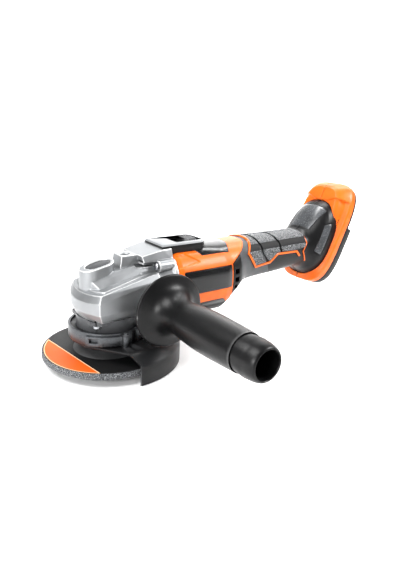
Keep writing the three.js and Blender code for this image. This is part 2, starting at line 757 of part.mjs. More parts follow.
function headCavities() {
  const axis = (x) => at(x, 0, MOTOR_Z);
  const handleHoles = [-1, 1].map((side) =>
    bar(
      at(HANDLE_X, (HANDLE_BOSS_Y + 1) * side, HANDLE_Z),
      at(HANDLE_X, (HANDLE_BOSS_Y - HANDLE_HOLE_DEPTH) * side, HANDLE_Z),
      HANDLE_HOLE_R, 12,
    ),
  );
  const screwHoles = screwPlaces.flatMap(([y, z]) => [
    bar(at(20, y, z), at(HEAD_REAR_X + 1, y, z), 2 + FIT, 8),
    bar(at(14, y, z), at(SCREW_FRONT_X, y, z), 4.6, 10),
  ]);
  const well = padOutline(BUTTON_LENGTH + 2 * RUN, BUTTON_WIDTH / 2 + RUN, BUTTON_X);
  const button = planBlock(well, BUTTON_FLOOR, FAR);
  const vents = [-1, 1].flatMap((side) =>
    [0, 1].map((row) => block(23, 40, side > 0 ? 9 : -17, side > 0 ? 17 : -9, 82 + 4 * row, 84 + 4 * row)),
  );
  return [
    bar(at(0, 0, HEAD_BOTTOM - 1), at(0, 0, GEAR_CAVITY_TOP), GEAR_CAVITY_R, 28),
    bar(at(0, 0, NECK_BOTTOM), at(0, 0, HEAD_BOTTOM), NECK_R + RUN, 28),
    bar(axis(-3), axis(FRONT_BEARING_X + 1), PINION_CAVITY_R, 16),
    bar(axis(FRONT_BEARING_X), axis(HEAD_REAR_X + 1), FRONT_BEARING_R + FIT, 20),
    bar(axis(FRONT_BEARING_X + BEARING_W + 2), axis(HEAD_REAR_X + 1), FAN_R + 2.4, 24),
    bar(at(0, 0, 50), at(0, 0, SPINDLE_TOP + 1), BUSH_R + FIT, 16),
    bar(at(-LOCK_CIRCLE_R, 0, 50), at(-LOCK_CIRCLE_R, 0, BUTTON_FLOOR + 1), PIN_R + RUN, 8),
    bar(at(-LOCK_CIRCLE_R, 0, SPRING_SEAT), at(-LOCK_CIRCLE_R, 0, BUTTON_FLOOR + 1), SPRING_R + RUN, 10),
    bar(at(TOP_HOLE_X, 0, TOP_BOSS_Z - HANDLE_HOLE_DEPTH), at(TOP_HOLE_X, 0, FAR), HANDLE_HOLE_R, 12),
    button,
    ...vents, ...handleHoles, ...screwHoles, ...flangeScrewHoles(),
  ];
}

// ---------------------------------------------------------------- spindle lock
function lockButton() {
  const outline = padOutline(BUTTON_LENGTH, BUTTON_WIDTH / 2, BUTTON_X);
  const low = BUTTON_FLOOR + BUTTON_TRAVEL + RUN;
  return hull(outline.flatMap(([x, y]) => [at(x, y, low), at(x, y, padTop(x) - 0.6)]));
}

function lockPin() {
  const x = -LOCK_CIRCLE_R;
  const top = BUTTON_FLOOR + BUTTON_TRAVEL + RUN - FIT;
  const collar = bar(at(x, 0, top - 1.4), at(x, 0, top), SPRING_R - 0.4, 10);
  return join(bar(at(x, 0, LOCK_PIN_TIP), at(x, 0, top), PIN_R, 8), collar);
}

// A compression spring as a helix of square wire round the pin.
function lockSpring() {
  const turns = 4;
  const wire = 0.35;
  const low = SPRING_SEAT + FIT + wire;
  const high = BUTTON_FLOOR + BUTTON_TRAVEL + RUN - FIT - 1.4 - FIT - wire;
  class Helix extends THREE.Curve {
    getPoint(t) {
      const angle = 2 * Math.PI * turns * t;
      const r = SPRING_R - wire - 0.1;
      return at(r * Math.cos(angle) - LOCK_CIRCLE_R, r * Math.sin(angle), low + (high - low) * t);
    }
  }
  const wireShape = new THREE.Shape([
    new THREE.Vector2(-wire, -wire), new THREE.Vector2(wire, -wire),
    new THREE.Vector2(wire, wire), new THREE.Vector2(-wire, wire),
  ]);
  const path = new Helix();
  return solid(new THREE.ExtrudeGeometry(wireShape, { steps: turns * 9, extrudePath: path }));
}

// ---------------------------------------------------------------- motor

function fan() {
  const hub = turned([[SHAFT_R + FIT / 2, 0], [9, 0], [9, FAN_W], [SHAFT_R + FIT / 2, FAN_W]], 14);
  const disc = turned([[7, 0], [FAN_R, 0], [FAN_R, 1.4], [7, 1.4]], 24);
  const blades = Array.from({ length: FAN_BLADES }, (_, i) => {
    const blade = new THREE.BoxGeometry(FAN_R - 9, 1.2, FAN_W).translate((FAN_R + 7) / 2, 0, FAN_W / 2);
    return solid(blade.rotateZ((2 * Math.PI * i) / FAN_BLADES));
  });
  return join(hub, disc, ...blades);
}

function statorCore() {
  const core = ring(STATOR_R, STATOR_BORE_R, STATOR_END_X - MOTOR_FRONT_X, 28);
  const slots = Array.from({ length: 6 }, (_, i) => {
    const slot = new THREE.BoxGeometry(8, 6, FAR).translate(STATOR_R - 8.5, 0, 0);
    return solid(slot.rotateZ(radians(60 * i + 30)));
  });
  return cut(core, ...slots);
}

function statorCoils(length) {
  return ring(24, 17, length);
}

// ---------------------------------------------------------------- barrel
function barrelOutside(grow = 0) {
  const s = (x, half, up, down) => section(x, MOTOR_Z, half + grow, up + grow, down + grow);
  return loft([
    s(HEAD_REAR_X + FIT, BARREL_HALF - 1, BARREL_UP - 1, BARREL_DOWN - 2),
    s(HEAD_REAR_X + 6, BARREL_HALF, BARREL_UP, BARREL_DOWN),
    s(BARREL_END - 9, BARREL_HALF, BARREL_UP, BARREL_DOWN),
    s(BARREL_END, BARREL_HALF - 1.5, BARREL_UP, BARREL_DOWN - 5),
    s(BARREL_END + RING_TOP_X, BARREL_HALF - 3, BARREL_UP + 0.5, BARREL_DOWN - 16),
  ]);
}

// The region behind the barrel: upright at its sides, then slanting back over the top.
function behindBarrel(gap) {
  const low = BARREL_TOP - RING_RISE;
  return sideBlock([
    [BARREL_END + gap, -FAR], [FAR + BARREL_END, -FAR], [FAR + BARREL_END, FAR],
    [BARREL_END + RING_TOP_X + gap, FAR],
    [BARREL_END + RING_TOP_X + gap, BARREL_TOP], [BARREL_END + gap, low],
  ], -FAR, FAR);
}

function labelWindow(shrink) {
  return sideBlock([
    [LABEL_FRONT + 8 + shrink, 52 + shrink], [BARREL_END - 2 - shrink, 52 + shrink],
    [BARREL_END - 2 - shrink, 75 - shrink], [LABEL_FRONT + shrink, 75 - shrink],
    [LABEL_FRONT + shrink, 68 + shrink],
  ], -FAR, FAR);
}

function coverWindow(shrink) {
  const [front, rear] = [HEAD_REAR_X + 24, BARREL_END + 6];
  return planBlock([
    [front + shrink, -9], [front + 8, -24 + shrink], [rear - 7, -24 + shrink], [rear - shrink, -9],
    [rear - shrink, 9], [rear - 7, 24 - shrink], [front + 8, 24 - shrink], [front + shrink, 9],
  ], BARREL_TOP - 16, FAR);
}

function bellyWindow(shrink) {
  return sideBlock([
    [HEAD_REAR_X + 10 + shrink, -FAR], [BARREL_END - 4 - shrink, -FAR],
    [BARREL_END - 4 - shrink, 34 - shrink], [BARREL_END - 12 - shrink, 41 - shrink],
    [HEAD_REAR_X + 10 + shrink, 41 - shrink],
  ], -FAR, FAR);
}

function motorHousing() {
  const inside = barrelOutside(-BARREL_WALL);
  const bore = loft([
    section(HEAD_REAR_X - 1, MOTOR_Z, BARREL_HALF - 4, BARREL_UP - 4, BARREL_DOWN - 5),
    section(HEAD_REAR_X + 8, MOTOR_Z, BARREL_HALF - 4, BARREL_UP - 4, BARREL_DOWN - 5),
  ]);
  const tail = loft([
    section(BARREL_END + RING_TOP_X - 2, MOTOR_Z, BARREL_HALF - 6, BARREL_UP - 2.5, BARREL_DOWN - 18),
    section(BARREL_END + RING_TOP_X + 2, MOTOR_Z, BARREL_HALF - 6, BARREL_UP - 2.5, BARREL_DOWN - 18),
  ]);
  const skin = barrelOutside(2).subtract(barrelOutside(-PANEL_T - FIT));
  const windows = join(labelWindow(0), coverWindow(0), bellyWindow(0));
  const shell = cut(barrelOutside(), inside, bore, tail, behindBarrel(0));
  const columns = screwPlaces.map(([y, z]) =>
    bar(at(HEAD_REAR_X + FIT, y, z), at(HEAD_REAR_X + 26, y, z), 4.6, 10).intersect(barrelOutside(-0.6)),
  );
  const screwHoles = screwPlaces.map(([y, z]) => bar(at(0, y, z), at(HEAD_REAR_X + 20, y, z), 2 + FIT, 8));
  const motorWay = bar(at(HEAD_REAR_X, 0, MOTOR_Z), at(STATOR_END_X + 1, 0, MOTOR_Z), STATOR_R + FIT, 28);
  const outerShape = barrelOutside(-1);
  const spiderX = REAR_BEARING_X;
  const hub = bar(at(spiderX, 0, MOTOR_Z), at(BARREL_END, 0, MOTOR_Z), REAR_BEARING_R + 3, 14);
  const arm = (turn) => {
    const spoke = new THREE.BoxGeometry(BARREL_END - spiderX - 3, 2 * BARREL_HALF, 4);
    spoke.rotateX(radians(turn)).translate((BARREL_END + spiderX + 3) / 2, 0, MOTOR_Z);
    return solid(spoke).intersect(outerShape);
  };
  const pocket = bar(at(spiderX - 1, 0, MOTOR_Z), at(BARREL_END + 1, 0, MOTOR_Z), REAR_BEARING_R + FIT, 14);
  const spider = cut(join(hub, arm(0), arm(60), arm(-60)), pocket);
  // ribs that reach in from the sides to the stator, whatever its size
  const ribs = block(
    MOTOR_FRONT_X + 2, STATOR_END_X - 2, -BARREL_HALF, BARREL_HALF, MOTOR_Z - 1.5, MOTOR_Z + 1.5,
  ).intersect(barrelOutside(-0.6));
  const whole = join(shell, ribs, ...columns, spider);
  return cut(whole, tongueSlot(), skin.intersect(windows), motorWay, ...screwHoles);
}

// the slot that the slider's tongue runs in
const tongueSlot = () =>
  block(
    SLIDER_REAR - SLIDER_LENGTH - SLIDER_TRAVEL, SLIDER_REAR,
    -ROD_HALF - RUN, ROD_HALF + RUN, MOTOR_Z + STATOR_R, FAR,
  );

const barrelPanel = (window, lift) =>
  cut(barrelOutside(lift), barrelOutside(-PANEL_T), tongueSlot()).intersect(window);

// ---------------------------------------------------------------- switch
function switchFrame() {
  const outline = [
    [FRAME_FRONT_X, -FRAME_HALF + 1], [FRAME_REAR_X - 6, -FRAME_HALF], [FRAME_REAR_X, -FRAME_HALF + 6],
    [FRAME_REAR_X, FRAME_HALF - 6], [FRAME_REAR_X - 6, FRAME_HALF], [FRAME_FRONT_X, FRAME_HALF - 1],
  ];
  const frame = planBlock(outline, BARREL_TOP - 4, FRAME_TOP);
  const head = block(0, HEAD_REAR_X + FIT, -FAR, FAR, 0, ROOF_REAR_Z + FIT);
  const recess = block(RECESS_FRONT_X, RECESS_REAR_X, -RECESS_HALF, RECESS_HALF, BARREL_TOP + 2, FAR);
  return cut(frame, head, barrelOutside(FIT), recess, tongueSlot());
}

function slideSwitch() {
  const x1 = SLIDER_REAR - RUN;
  const x0 = x1 - SLIDER_LENGTH + RUN;
  const half = RECESS_HALF - RUN;
  const base = block(x0, x1, -half, half, RECESS_FLOOR + RUN, FRAME_TOP - 1.5);
  const ribs = [0, 1, 2].map((i) => {
    const x = x0 + 2 + 4 * i;
    return block(x, x + 2, -half + 2, half - 2, FRAME_TOP - 2, FRAME_TOP + 0.8);
  });
  const middle = (x0 + x1) / 2;
  const tongue = block(middle - 3, middle + 3, -ROD_HALF, ROD_HALF, ROD_Z + ROD_T + FIT, RECESS_FLOOR + 1);
  return join(base, ...ribs, tongue);
}

function switchRod() {
  const front = SLIDER_REAR - RUN - SLIDER_LENGTH + 4;
  return block(front, MICRO_X - SLIDER_TRAVEL / 2, -ROD_HALF, ROD_HALF, ROD_Z, ROD_Z + ROD_T);
}

// ---------------------------------------------------------------- handle
const gripTilt = { tilt: 0 };

function handleOutside(grow = 0, runOut = 0) {
  const s = (x, z, half, up, down, options = gripTilt) =>
    section(x, z, half + grow, up + grow, down + grow, options);
  const lean = radians(FOOT_TILT);
  const [fx, fz] = [FOOT_X - 6 * Math.cos(lean), FOOT_Z + 6 * Math.sin(lean)];
  const drop = FOOT_HALF_LENGTH * 0.2;
  const up = FOOT_HALF_LENGTH * 0.84;
  const down = FOOT_HALF_LENGTH * 0.71;
  const end = [fx - drop * Math.sin(lean), fz - drop * Math.cos(lean)];
  const last = (push) =>
    s(end[0] + push * Math.cos(lean), end[1] - push * Math.sin(lean), FOOT_HALF_WIDTH - 5, up, down, {
      tilt: FOOT_TILT,
    });
  const front = (x) => s(x, MOTOR_Z, BARREL_HALF - 1.5, BARREL_UP, BARREL_DOWN - 5);
  return loft([
    ...(runOut ? [front(BARREL_END - 2 - runOut)] : []),
    front(BARREL_END - 2),
    s(NECK_X, 62, GRIP_HALF + 8, BARREL_TOP + 0.5 - 62, 21),
    s(NECK_X + 12, 67, GRIP_HALF + 3.5, BARREL_TOP + 0.5 - 67, 20),
    s(NECK_X + 31, GRIP_Z, GRIP_HALF + 1, GRIP_UP + 0.5, GRIP_DOWN + 1.5),
    s(GRIP_END - 32, GRIP_Z, GRIP_HALF, GRIP_UP, GRIP_DOWN),
    s(GRIP_END, GRIP_Z + 1, GRIP_HALF - 0.5, GRIP_UP - 1, GRIP_DOWN - 1),
    s(GRIP_END + 10, GRIP_Z + 1, GRIP_HALF + 0.5, GRIP_UP + 1, GRIP_DOWN + 1, { tilt: 8 }),
    s(GRIP_END + 25, GRIP_Z + 5, GRIP_HALF + 7, GRIP_UP + 28, GRIP_DOWN + 12, { tilt: 20 }),
    last(0),
    ...(runOut ? [last(runOut)] : []),
  ]);
}

function ventRegion(gap) {
  // between the barrel's upright edge and the neck, below the slanted top
  return sideBlock([
    [BARREL_END + gap, 0], [NECK_X - gap, 0],
    [NECK_X - gap, BARREL_TOP - RING_RISE + (VENT_LENGTH * RING_RISE) / RING_TOP_X - 1.5 * gap],
    [BARREL_END + gap, BARREL_TOP - RING_RISE - 1.5 * gap],
  ], -FAR, FAR);
}

const handleShell = () =>
  cut(
    handleOutside(), handleOutside(-SHELL_WALL, 2),
    block(-FAR, BARREL_END, -FAR, FAR, -FAR, FAR),
  );

function handleHalf(side) {
  const ahead = cut(block(-FAR, FAR, -FAR, FAR, -FAR, FAR), behindBarrel(FIT));
  const rodHalf = ROD_HALF + RUN;
  const rodWay = block(BARREL_END - 5, MICRO_X, -rodHalf, rodHalf, ROD_Z - 1, ROD_Z + ROD_T + 1);
  const shell = cut(handleShell(), ahead, ventRegion(-FIT / 2), rodWay);
  const bosses = handleScrewPlaces.map(([x, z]) =>
    bar(at(x, side * FIT / 2, z), at(x, side * (GRIP_HALF - 2), z), 4.2, 8),
  );
  const bossed = join(shell, ...bosses.map((b) => b.intersect(handleOutside(-0.5))));
  const holes = handleScrewPlaces.flatMap(([x, z]) => [
    bar(at(x, -14, z), at(x, FAR, z), 1.8 + FIT, 8),
    bar(at(x, GRIP_HALF - 5, z), at(x, FAR, z), 3.4 + FIT, 8),
  ]);
  return cut(halfOf(bossed, side), ...holes);
}

const handleScrewPlaces = [
  [NECK_X + 12, 55],
  [GRIP_END - 30, 57],
];

function handleScrew() {
  const head = bar(at(0, -2.4, 0), at(0, 0, 0), 3.4, 8);
  const shank = bar(at(0, -GRIP_HALF - 8, 0), at(0, FIT - 2.4, 0), 1.8, 8);
  return join(head, shank);
}

function ventGrille() {
  const shell = cut(handleOutside(0.3), handleOutside(-3.4, 4)).intersect(ventRegion(FIT / 2 + 0.1));
  const slots = [-1, 1].flatMap((side) =>
    [47, 55.5, 64].map((z) =>
      block(BARREL_END + 2.4, NECK_X - 3.4, side > 0 ? 15 : -FAR, side > 0 ? FAR : -15, z, z + 5.4),
    ),
  );
  return cut(shell, ...slots);
}

const softPiece = (window, lift, side) =>
  halfOf(cut(handleOutside(lift), handleOutside(FIT)).intersect(window), side);

// the lower edge of the soft pads, which the accent strip follows
const padEdge = [
  [NECK_X + 15, 82], [NECK_X + 25, 67], [NECK_X + 46, 69], [NECK_X + 57, 77],
  [GRIP_END - 10, 76], [GRIP_END - 4, 68],
];

function padWindow() {
  return sideBlock([
    [NECK_X + 26, 99], ...padEdge.slice(0, 5), [GRIP_END + 4, 78], [GRIP_END + 7, 99],
  ], -FAR, FAR);
}

function accentWindow() {
  const width = 2.6;
  const gap = 0.5;
  const lower = [
    [NECK_X + 15 - gap - width, 81], [NECK_X + 24 - gap, 67 - gap - width],
    [NECK_X + 46.8, 69 - gap - width], [NECK_X + 57.8, 77 - gap - width],
    [GRIP_END - 11, 76 - gap - width], [GRIP_END - 6, 67],
  ];
  const upper = [
    [GRIP_END - 3.4, 68.4], [GRIP_END - 9.6, 76 - gap], [NECK_X + 56.8, 77 - gap],
    [NECK_X + 45.8, 69 - gap], [NECK_X + 25, 67 - gap], [NECK_X + 15 - gap, 82],
    [NECK_X + 25 - gap, 97], [NECK_X + 25 - gap - width, 97],
  ];
  return sideBlock([...lower, ...upper], -FAR, FAR);
}

// ---------------------------------------------------------------- battery foot
// The foot's own frame: its centre at the origin, X out through the battery face, Z up along the foot.
function footFrame(geometry) {
  return solid(geometry.rotateY(radians(FOOT_TILT)).translate(FOOT_X, 0, FOOT_Z));
}

function footSection(depth, half, up, down) {
  return section(depth, 0, half, up, down, { power: 4.5, points: 28 });
}

function footLoft(rings) {
  const place = new THREE.Matrix4().makeRotationY(radians(FOOT_TILT));
  place.setPosition(FOOT_X, 0, FOOT_Z);
  return loft(rings.map((r) => r.map((p) => p.clone().applyMatrix4(place))));
}

function footBlock(x0, x1, y0, y1, z0, z1) {
  const box = new THREE.BoxGeometry(x1 - x0, y1 - y0, z1 - z0);
  return footFrame(box.translate((x0 + x1) / 2, (y0 + y1) / 2, (z0 + z1) / 2));
}

function footShape(grow, rear) {
  const [w, l] = [FOOT_HALF_WIDTH + grow, FOOT_HALF_LENGTH + grow];
  return footLoft([
    footSection(-FOOT_DEPTH - grow, w - 11, l - 11, l - 18),
    footSection(-FOOT_DEPTH * 0.55 - grow, w - 3, l - 2.5, l - 4),
    footSection(-FOOT_DEPTH * 0.3, w, l, l),
    footSection(rear, w, l, l),
  ]);
}

function footHalf(side) {
  const shell = cut(footShape(0, 0), footShape(-SHELL_WALL, 2), handleOutside(FIT, 6));
  return halfOf(shell, side);
}

function batteryBase() {
  const [w, l] = [FOOT_HALF_WIDTH - 0.6, FOOT_HALF_LENGTH - 0.6];
  const body = footLoft([
    footSection(FIT, w, l, l),
    footSection(BASE_THIN, w, l, l),
    footSection(BASE_T - 3, w - 0.5, l - 1, l - 1),
    footSection(BASE_T, w - 3, l - 4, l - 4),
  ]);
  const step = footFrame(new THREE.BoxGeometry(BASE_T * 2, FAR, FAR)
    .translate(BASE_THIN + BASE_T, 0, BASE_STEP + FAR / 2));
  const pocket = footBlock(BASE_T - RAIL_DEPTH, FAR, -15, 15, -30, FAR);
  const rails = [-1, 1].map((side) => {
    const [y0, y1] = side > 0 ? [14, RAIL_HALF] : [-RAIL_HALF, -14];
    return footBlock(BASE_T - RAIL_DEPTH - 1.2, BASE_T - 2.2, y0, y1, -48, FAR);
  });
  const cableWay = footBlock(-5, BASE_T, -8, 8, -20, -8);
  return cut(body, step, pocket, ...rails, cableWay);
}

function terminalBlock() {
  const bed = BASE_T - RAIL_DEPTH + FIT;
  const body = footBlock(bed, bed + 2, -12, 12, -26, 6);
  const blades = [-9, -3, 3, 9].map((y) => footBlock(bed + 1, bed + 5, y - 0.6, y + 0.6, -20, 2));
  return join(body, ...blades);
}

// ---------------------------------------------------------------- auxiliary handle
function sideHandle() {
  const hubR = 11;
  const start = HANDLE_BOSS_Y + FIT;
  const profile = [
    [STUD_R + FIT, start], [hubR, start], [hubR, FLANGE_AT - 1.5], [FLANGE_R - 3, FLANGE_AT - 0.5],
    [FLANGE_R, FLANGE_AT + 1.4], [FLANGE_R - 0.6, FLANGE_AT + 3.2], [26, FLANGE_AT + 5.4],
    [HANDLE_NECK_R + 4, FLANGE_AT + 10], [HANDLE_NECK_R, FLANGE_AT + 19],
    [HANDLE_NECK_R + 1.4, FLANGE_AT + 34], [HANDLE_BELLY_R, FLANGE_AT + 60],
    [HANDLE_BELLY_R - 1, HANDLE_END - 34], [HANDLE_TIP_R, HANDLE_END - 7],
    [HANDLE_TIP_R - 2, HANDLE_END], [HANDLE_HOLLOW_R, HANDLE_END],
    [HANDLE_HOLLOW_R, FLANGE_AT + 40], [STUD_R + FIT, FLANGE_AT + 38],
  ];
  return turned(profile, 22);
}

function handleStud() {
  const start = HANDLE_BOSS_Y - HANDLE_HOLE_DEPTH + 1;
  return turned([[0, start], [STUD_R, start], [STUD_R, FLANGE_AT + 30], [0, FLANGE_AT + 30]], 16);
}

function headScrew() {
  const head = bar(at(-3, 0, 0), at(0, 0, 0), 2.4, 10, 3.8);
  const shank = bar(at(-FIT, 0, 0), at(HEAD_REAR_X + 18 - SCREW_FRONT_X, 0, 0), 2, 8);
  return join(head, shank);
}

// ---------------------------------------------------------------- assembly

function addTurnedAboutX(name, body, material, x) {
  const mesh = add(name, body, material, at(x, 0, MOTOR_Z));
  mesh.rotation.y = Math.PI / 2;
  return mesh;
}

add("spindle", spindle(), STEEL);
add("bevel_gear", bevelGear(), STEEL);
const bearingInner = ring(JOURNAL_R + FIT + RACE - 0.8, JOURNAL_R + FIT, LOWER_BEARING_W);
add("lower_bearing_inner", bearingInner, STEEL, at(0, 0, LOWER_BEARING_Z));
add("inner_flange", innerFlange(), STEEL);
add("grinding_disc", grindingWheel(), GRIT);
add("lock_nut", lockNut(), BLACK_STEEL);

const bearingOuter = ring(LOWER_BEARING_R, LOWER_BEARING_R - RACE, LOWER_BEARING_W);
add("lower_bearing_outer", bearingOuter, STEEL, at(0, 0, LOWER_BEARING_Z));
add("spindle_bush", ring(BUSH_R, TOP_JOURNAL_R + 0.1, SPINDLE_TOP - 62, 20), COPPER, at(0, 0, 62));
add("bearing_flange", bearingFlange(), BLACK_STEEL);
cornerSigns.forEach(([sx, sy], i) =>
  add(
    `flange_screw_${i + 1}`, flangeScrew(), STEEL,
    at(sx * FLANGE_SCREW_AT, sy * FLANGE_SCREW_AT, FLANGE_SCREW_LOW),
  ),
);
add("gear_housing", gearHousing(), CAST);
screwPlaces.forEach(([y, z], i) => add(`head_screw_${i + 1}`, headScrew(), STEEL, at(SCREW_FRONT_X, y, z)));

add("guard", guard(), BLACK_STEEL);
add("guard_band", guardBand(), STEEL);
add("guard_lever", guardLever(), STEEL);
add("lever_pin", leverPin(), STEEL);

add("lock_button", lockButton(), GREY);
add("lock_pin", lockPin(), STEEL);
add("lock_spring", lockSpring(), STEEL);

addTurnedAboutX("rotor_shaft", bar(at(0, 0, 0), at(0, 0, BARREL_END + 2 - 17), SHAFT_R, 16), STEEL, 17);
const rotorCore = ring(ROTOR_R, SHAFT_R + FIT / 2, STATOR_END_X - MOTOR_FRONT_X);
addTurnedAboutX("rotor_core", rotorCore, STEEL, MOTOR_FRONT_X);
add("pinion", pinion(), STEEL);
addTurnedAboutX("fan", fan(), BLACK, HEAD_REAR_X - 12);
addTurnedAboutX("front_bearing", ring(FRONT_BEARING_R, SHAFT_R + 0.1, BEARING_W), STEEL, FRONT_BEARING_X);
addTurnedAboutX("rear_bearing", ring(REAR_BEARING_R, SHAFT_R + 0.1, 7), STEEL, REAR_BEARING_X + 1);
addTurnedAboutX("fan_baffle", ring(FAN_R, 18, 2), BLACK, HEAD_REAR_X + 2);
addTurnedAboutX("stator_core", statorCore(), STEEL, MOTOR_FRONT_X);
addTurnedAboutX("front_coils", statorCoils(5), COPPER, MOTOR_FRONT_X - 5 - FIT);
addTurnedAboutX("rear_coils", statorCoils(6), COPPER, STATOR_END_X + FIT);

add("motor_housing", motorHousing(), ORANGE);
[-1, 1].forEach((side) =>
  add(
    side < 0 ? "label_plate_left" : "label_plate_right",
    halfOf(barrelPanel(labelWindow(FIT), 0.2), side), BLACK,
  ),
);
add("top_cover", barrelPanel(coverWindow(FIT), 0.3), BLACK);
add("belly_cover", barrelPanel(bellyWindow(FIT), 0.3), BLACK);
add("switch_frame", switchFrame(), BLACK);
add("slide_switch", slideSwitch(), GREY);
add("switch_rod", switchRod(), GREY);
add("micro_switch", block(MICRO_X, MICRO_X + 20, -8, 8, ROD_Z - 10, ROD_Z + 1), BLACK);

[-1, 1].forEach((side) => {
  const hand = side < 0 ? "left" : "right";
  add(`handle_${hand}`, handleHalf(side), GREY);
  add(`grip_pad_${hand}`, softPiece(padWindow(), PAD_T, side), SOFT);
  add(`accent_strip_${hand}`, softPiece(accentWindow(), PAD_T + 0.2, side), ORANGE);
  add(`foot_shell_${hand}`, footHalf(side), ORANGE);
});
handleScrewPlaces.forEach(([x, z], i) =>
  add(`handle_screw_${i + 1}`, handleScrew(), STEEL, at(x, GRIP_HALF - 2.6 + FIT, z)),
);
add("vent_grille", ventGrille(), BLACK);
add("control_module", block(NECK_X + 34, GRIP_END - 12, -11, 11, 64, 84), BOARD);
add("battery_base", batteryBase(), BLACK);
add("terminal_block", terminalBlock(), BLACK);

const handle = add("side_handle", sideHandle(), BLACK, at(HANDLE_X, 0, HANDLE_Z));
handle.rotation.x = Math.PI / 2;
const stud = add("handle_stud", handleStud(), STEEL, at(HANDLE_X, 0, HANDLE_Z));
stud.rotation.x = Math.PI / 2;

export default tool;
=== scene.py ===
# Cordless angle grinder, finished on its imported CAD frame. Sizes are in millimetres and become metres
# when a mesh is made. The spindle turns about Z through the origin, +X runs back to the battery foot.
import math

import bmesh
import bpy
from mathutils import Matrix, Vector


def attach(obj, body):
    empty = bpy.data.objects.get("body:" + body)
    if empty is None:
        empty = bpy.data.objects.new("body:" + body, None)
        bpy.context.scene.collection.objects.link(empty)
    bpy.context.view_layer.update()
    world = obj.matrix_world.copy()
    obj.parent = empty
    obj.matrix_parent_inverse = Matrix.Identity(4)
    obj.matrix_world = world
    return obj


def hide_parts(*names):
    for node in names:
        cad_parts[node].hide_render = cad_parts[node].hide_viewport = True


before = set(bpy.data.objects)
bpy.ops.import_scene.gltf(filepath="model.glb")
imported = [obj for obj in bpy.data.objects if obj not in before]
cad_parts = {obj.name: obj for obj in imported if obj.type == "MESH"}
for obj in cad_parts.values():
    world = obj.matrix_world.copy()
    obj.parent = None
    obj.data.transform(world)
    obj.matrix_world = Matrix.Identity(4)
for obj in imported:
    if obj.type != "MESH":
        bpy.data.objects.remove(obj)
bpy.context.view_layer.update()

MM = 0.001
FAR = 400

# ---------------------------------------------------------------- sizes shared with the CAD frame
MOTOR_Z = 58
NECK_R = 29.6
HEAD_REAR = 60
BARREL_END = 127
NECK_X = 139
BARREL_TOP = 93.5
HANDLE_X = 33.5
HANDLE_Z = 50.8
FOOT_TILT = math.radians(25)
FOOT_CENTRE = (289.4, 0, 85.6)
GAP = 0.3  # between neighbouring pieces of the shell
# screw places: across and up for the head, along and across for the flange, along and up for the handle
HEAD_SCREWS = [(-21.6, 33.8), (21.6, 33.8), (21.6, 82.2), (-21.6, 82.2)]
FLANGE_SCREWS = [(-22, -22), (22, -22), (22, 22), (-22, 22)]
HANDLE_SCREWS = [(151, 55), (207, 57)]
HEAD_SCREW_X = 42  # bearing face of the head screws
CAMERA_YAW = -36.86  # degrees about Z, which the backdrop is turned to as well


# ---------------------------------------------------------------- mesh tools
def link(name, mesh):
    piece = bpy.data.objects.new(name, mesh)
    bpy.context.scene.collection.objects.link(piece)
    return piece


def shape(name, points, faces):
    mesh = bpy.data.meshes.new(name)
    mesh.from_pydata([Vector(p) * MM for p in points], [], faces)
    mesh.update()
    return link(name, mesh)


def hull(name, points):
    work = bmesh.new()
    for point in points:
        work.verts.new(Vector(point) * MM)
    bmesh.ops.remove_doubles(work, verts=work.verts, dist=1e-6)
    made = bmesh.ops.convex_hull(work, input=work.verts)
    loose = [v for v in made["geom_interior"] if isinstance(v, bmesh.types.BMVert)]
    bmesh.ops.delete(work, geom=loose, context="VERTS")
    mesh = bpy.data.meshes.new(name)
    work.to_mesh(mesh)
    work.free()
    return link(name, mesh)


def loft(name, rings):
    """A closed skin over rows of points, all of one length, with a flat cap at each end."""
    count = len(rings[0])
    points = [p for ring in rings for p in ring]
    faces = []
    for r in range(len(rings) - 1):
        for i in range(count):
            a, b = r * count + i, r * count + (i + 1) % count
            faces.append((a, b, b + count, a + count))
    faces.append(tuple(reversed(range(count))))
    faces.append(tuple(range(len(points) - count, len(points))))
    piece = shape(name, points, faces)
    outward(piece)
    return piece


def outward(piece):
    work = bmesh.new()
    work.from_mesh(piece.data)
    bmesh.ops.remove_doubles(work, verts=work.verts, dist=1e-7)
    bmesh.ops.recalc_face_normals(work, faces=work.faces)
    work.to_mesh(piece.data)
    work.free()


def prism(name, outline, low, high, along="Z"):
    """An outline pushed from low to high along an axis. The outline gives the two other axes in order."""
    place = {
        "X": lambda a, b, t: (t, a, b),
        "Y": lambda a, b, t: (a, t, b),
        "Z": lambda a, b, t: (a, b, t),
    }[along]
    return loft(name, [[place(a, b, t) for a, b in outline] for t in (low, high)])


def block(name, x0, x1, y0, y1, z0, z1):
    return prism(name, [(x0, y0), (x1, y0), (x1, y1), (x0, y1)], z0, z1)


def rod(name, start, end, radius, end_radius=None, sides=48):
    start, end = Vector(start), Vector(end)
    axis = (end - start).normalized()
    across = axis.orthogonal().normalized()
    beside = axis.cross(across)
    rings = []
    for centre, r in ((start, radius), (end, end_radius or radius)):
        turns = [2 * math.pi * i / sides for i in range(sides)]
        rings.append([centre + r * (math.cos(t) * across + math.sin(t) * beside) for t in turns])
    return loft(name, rings)


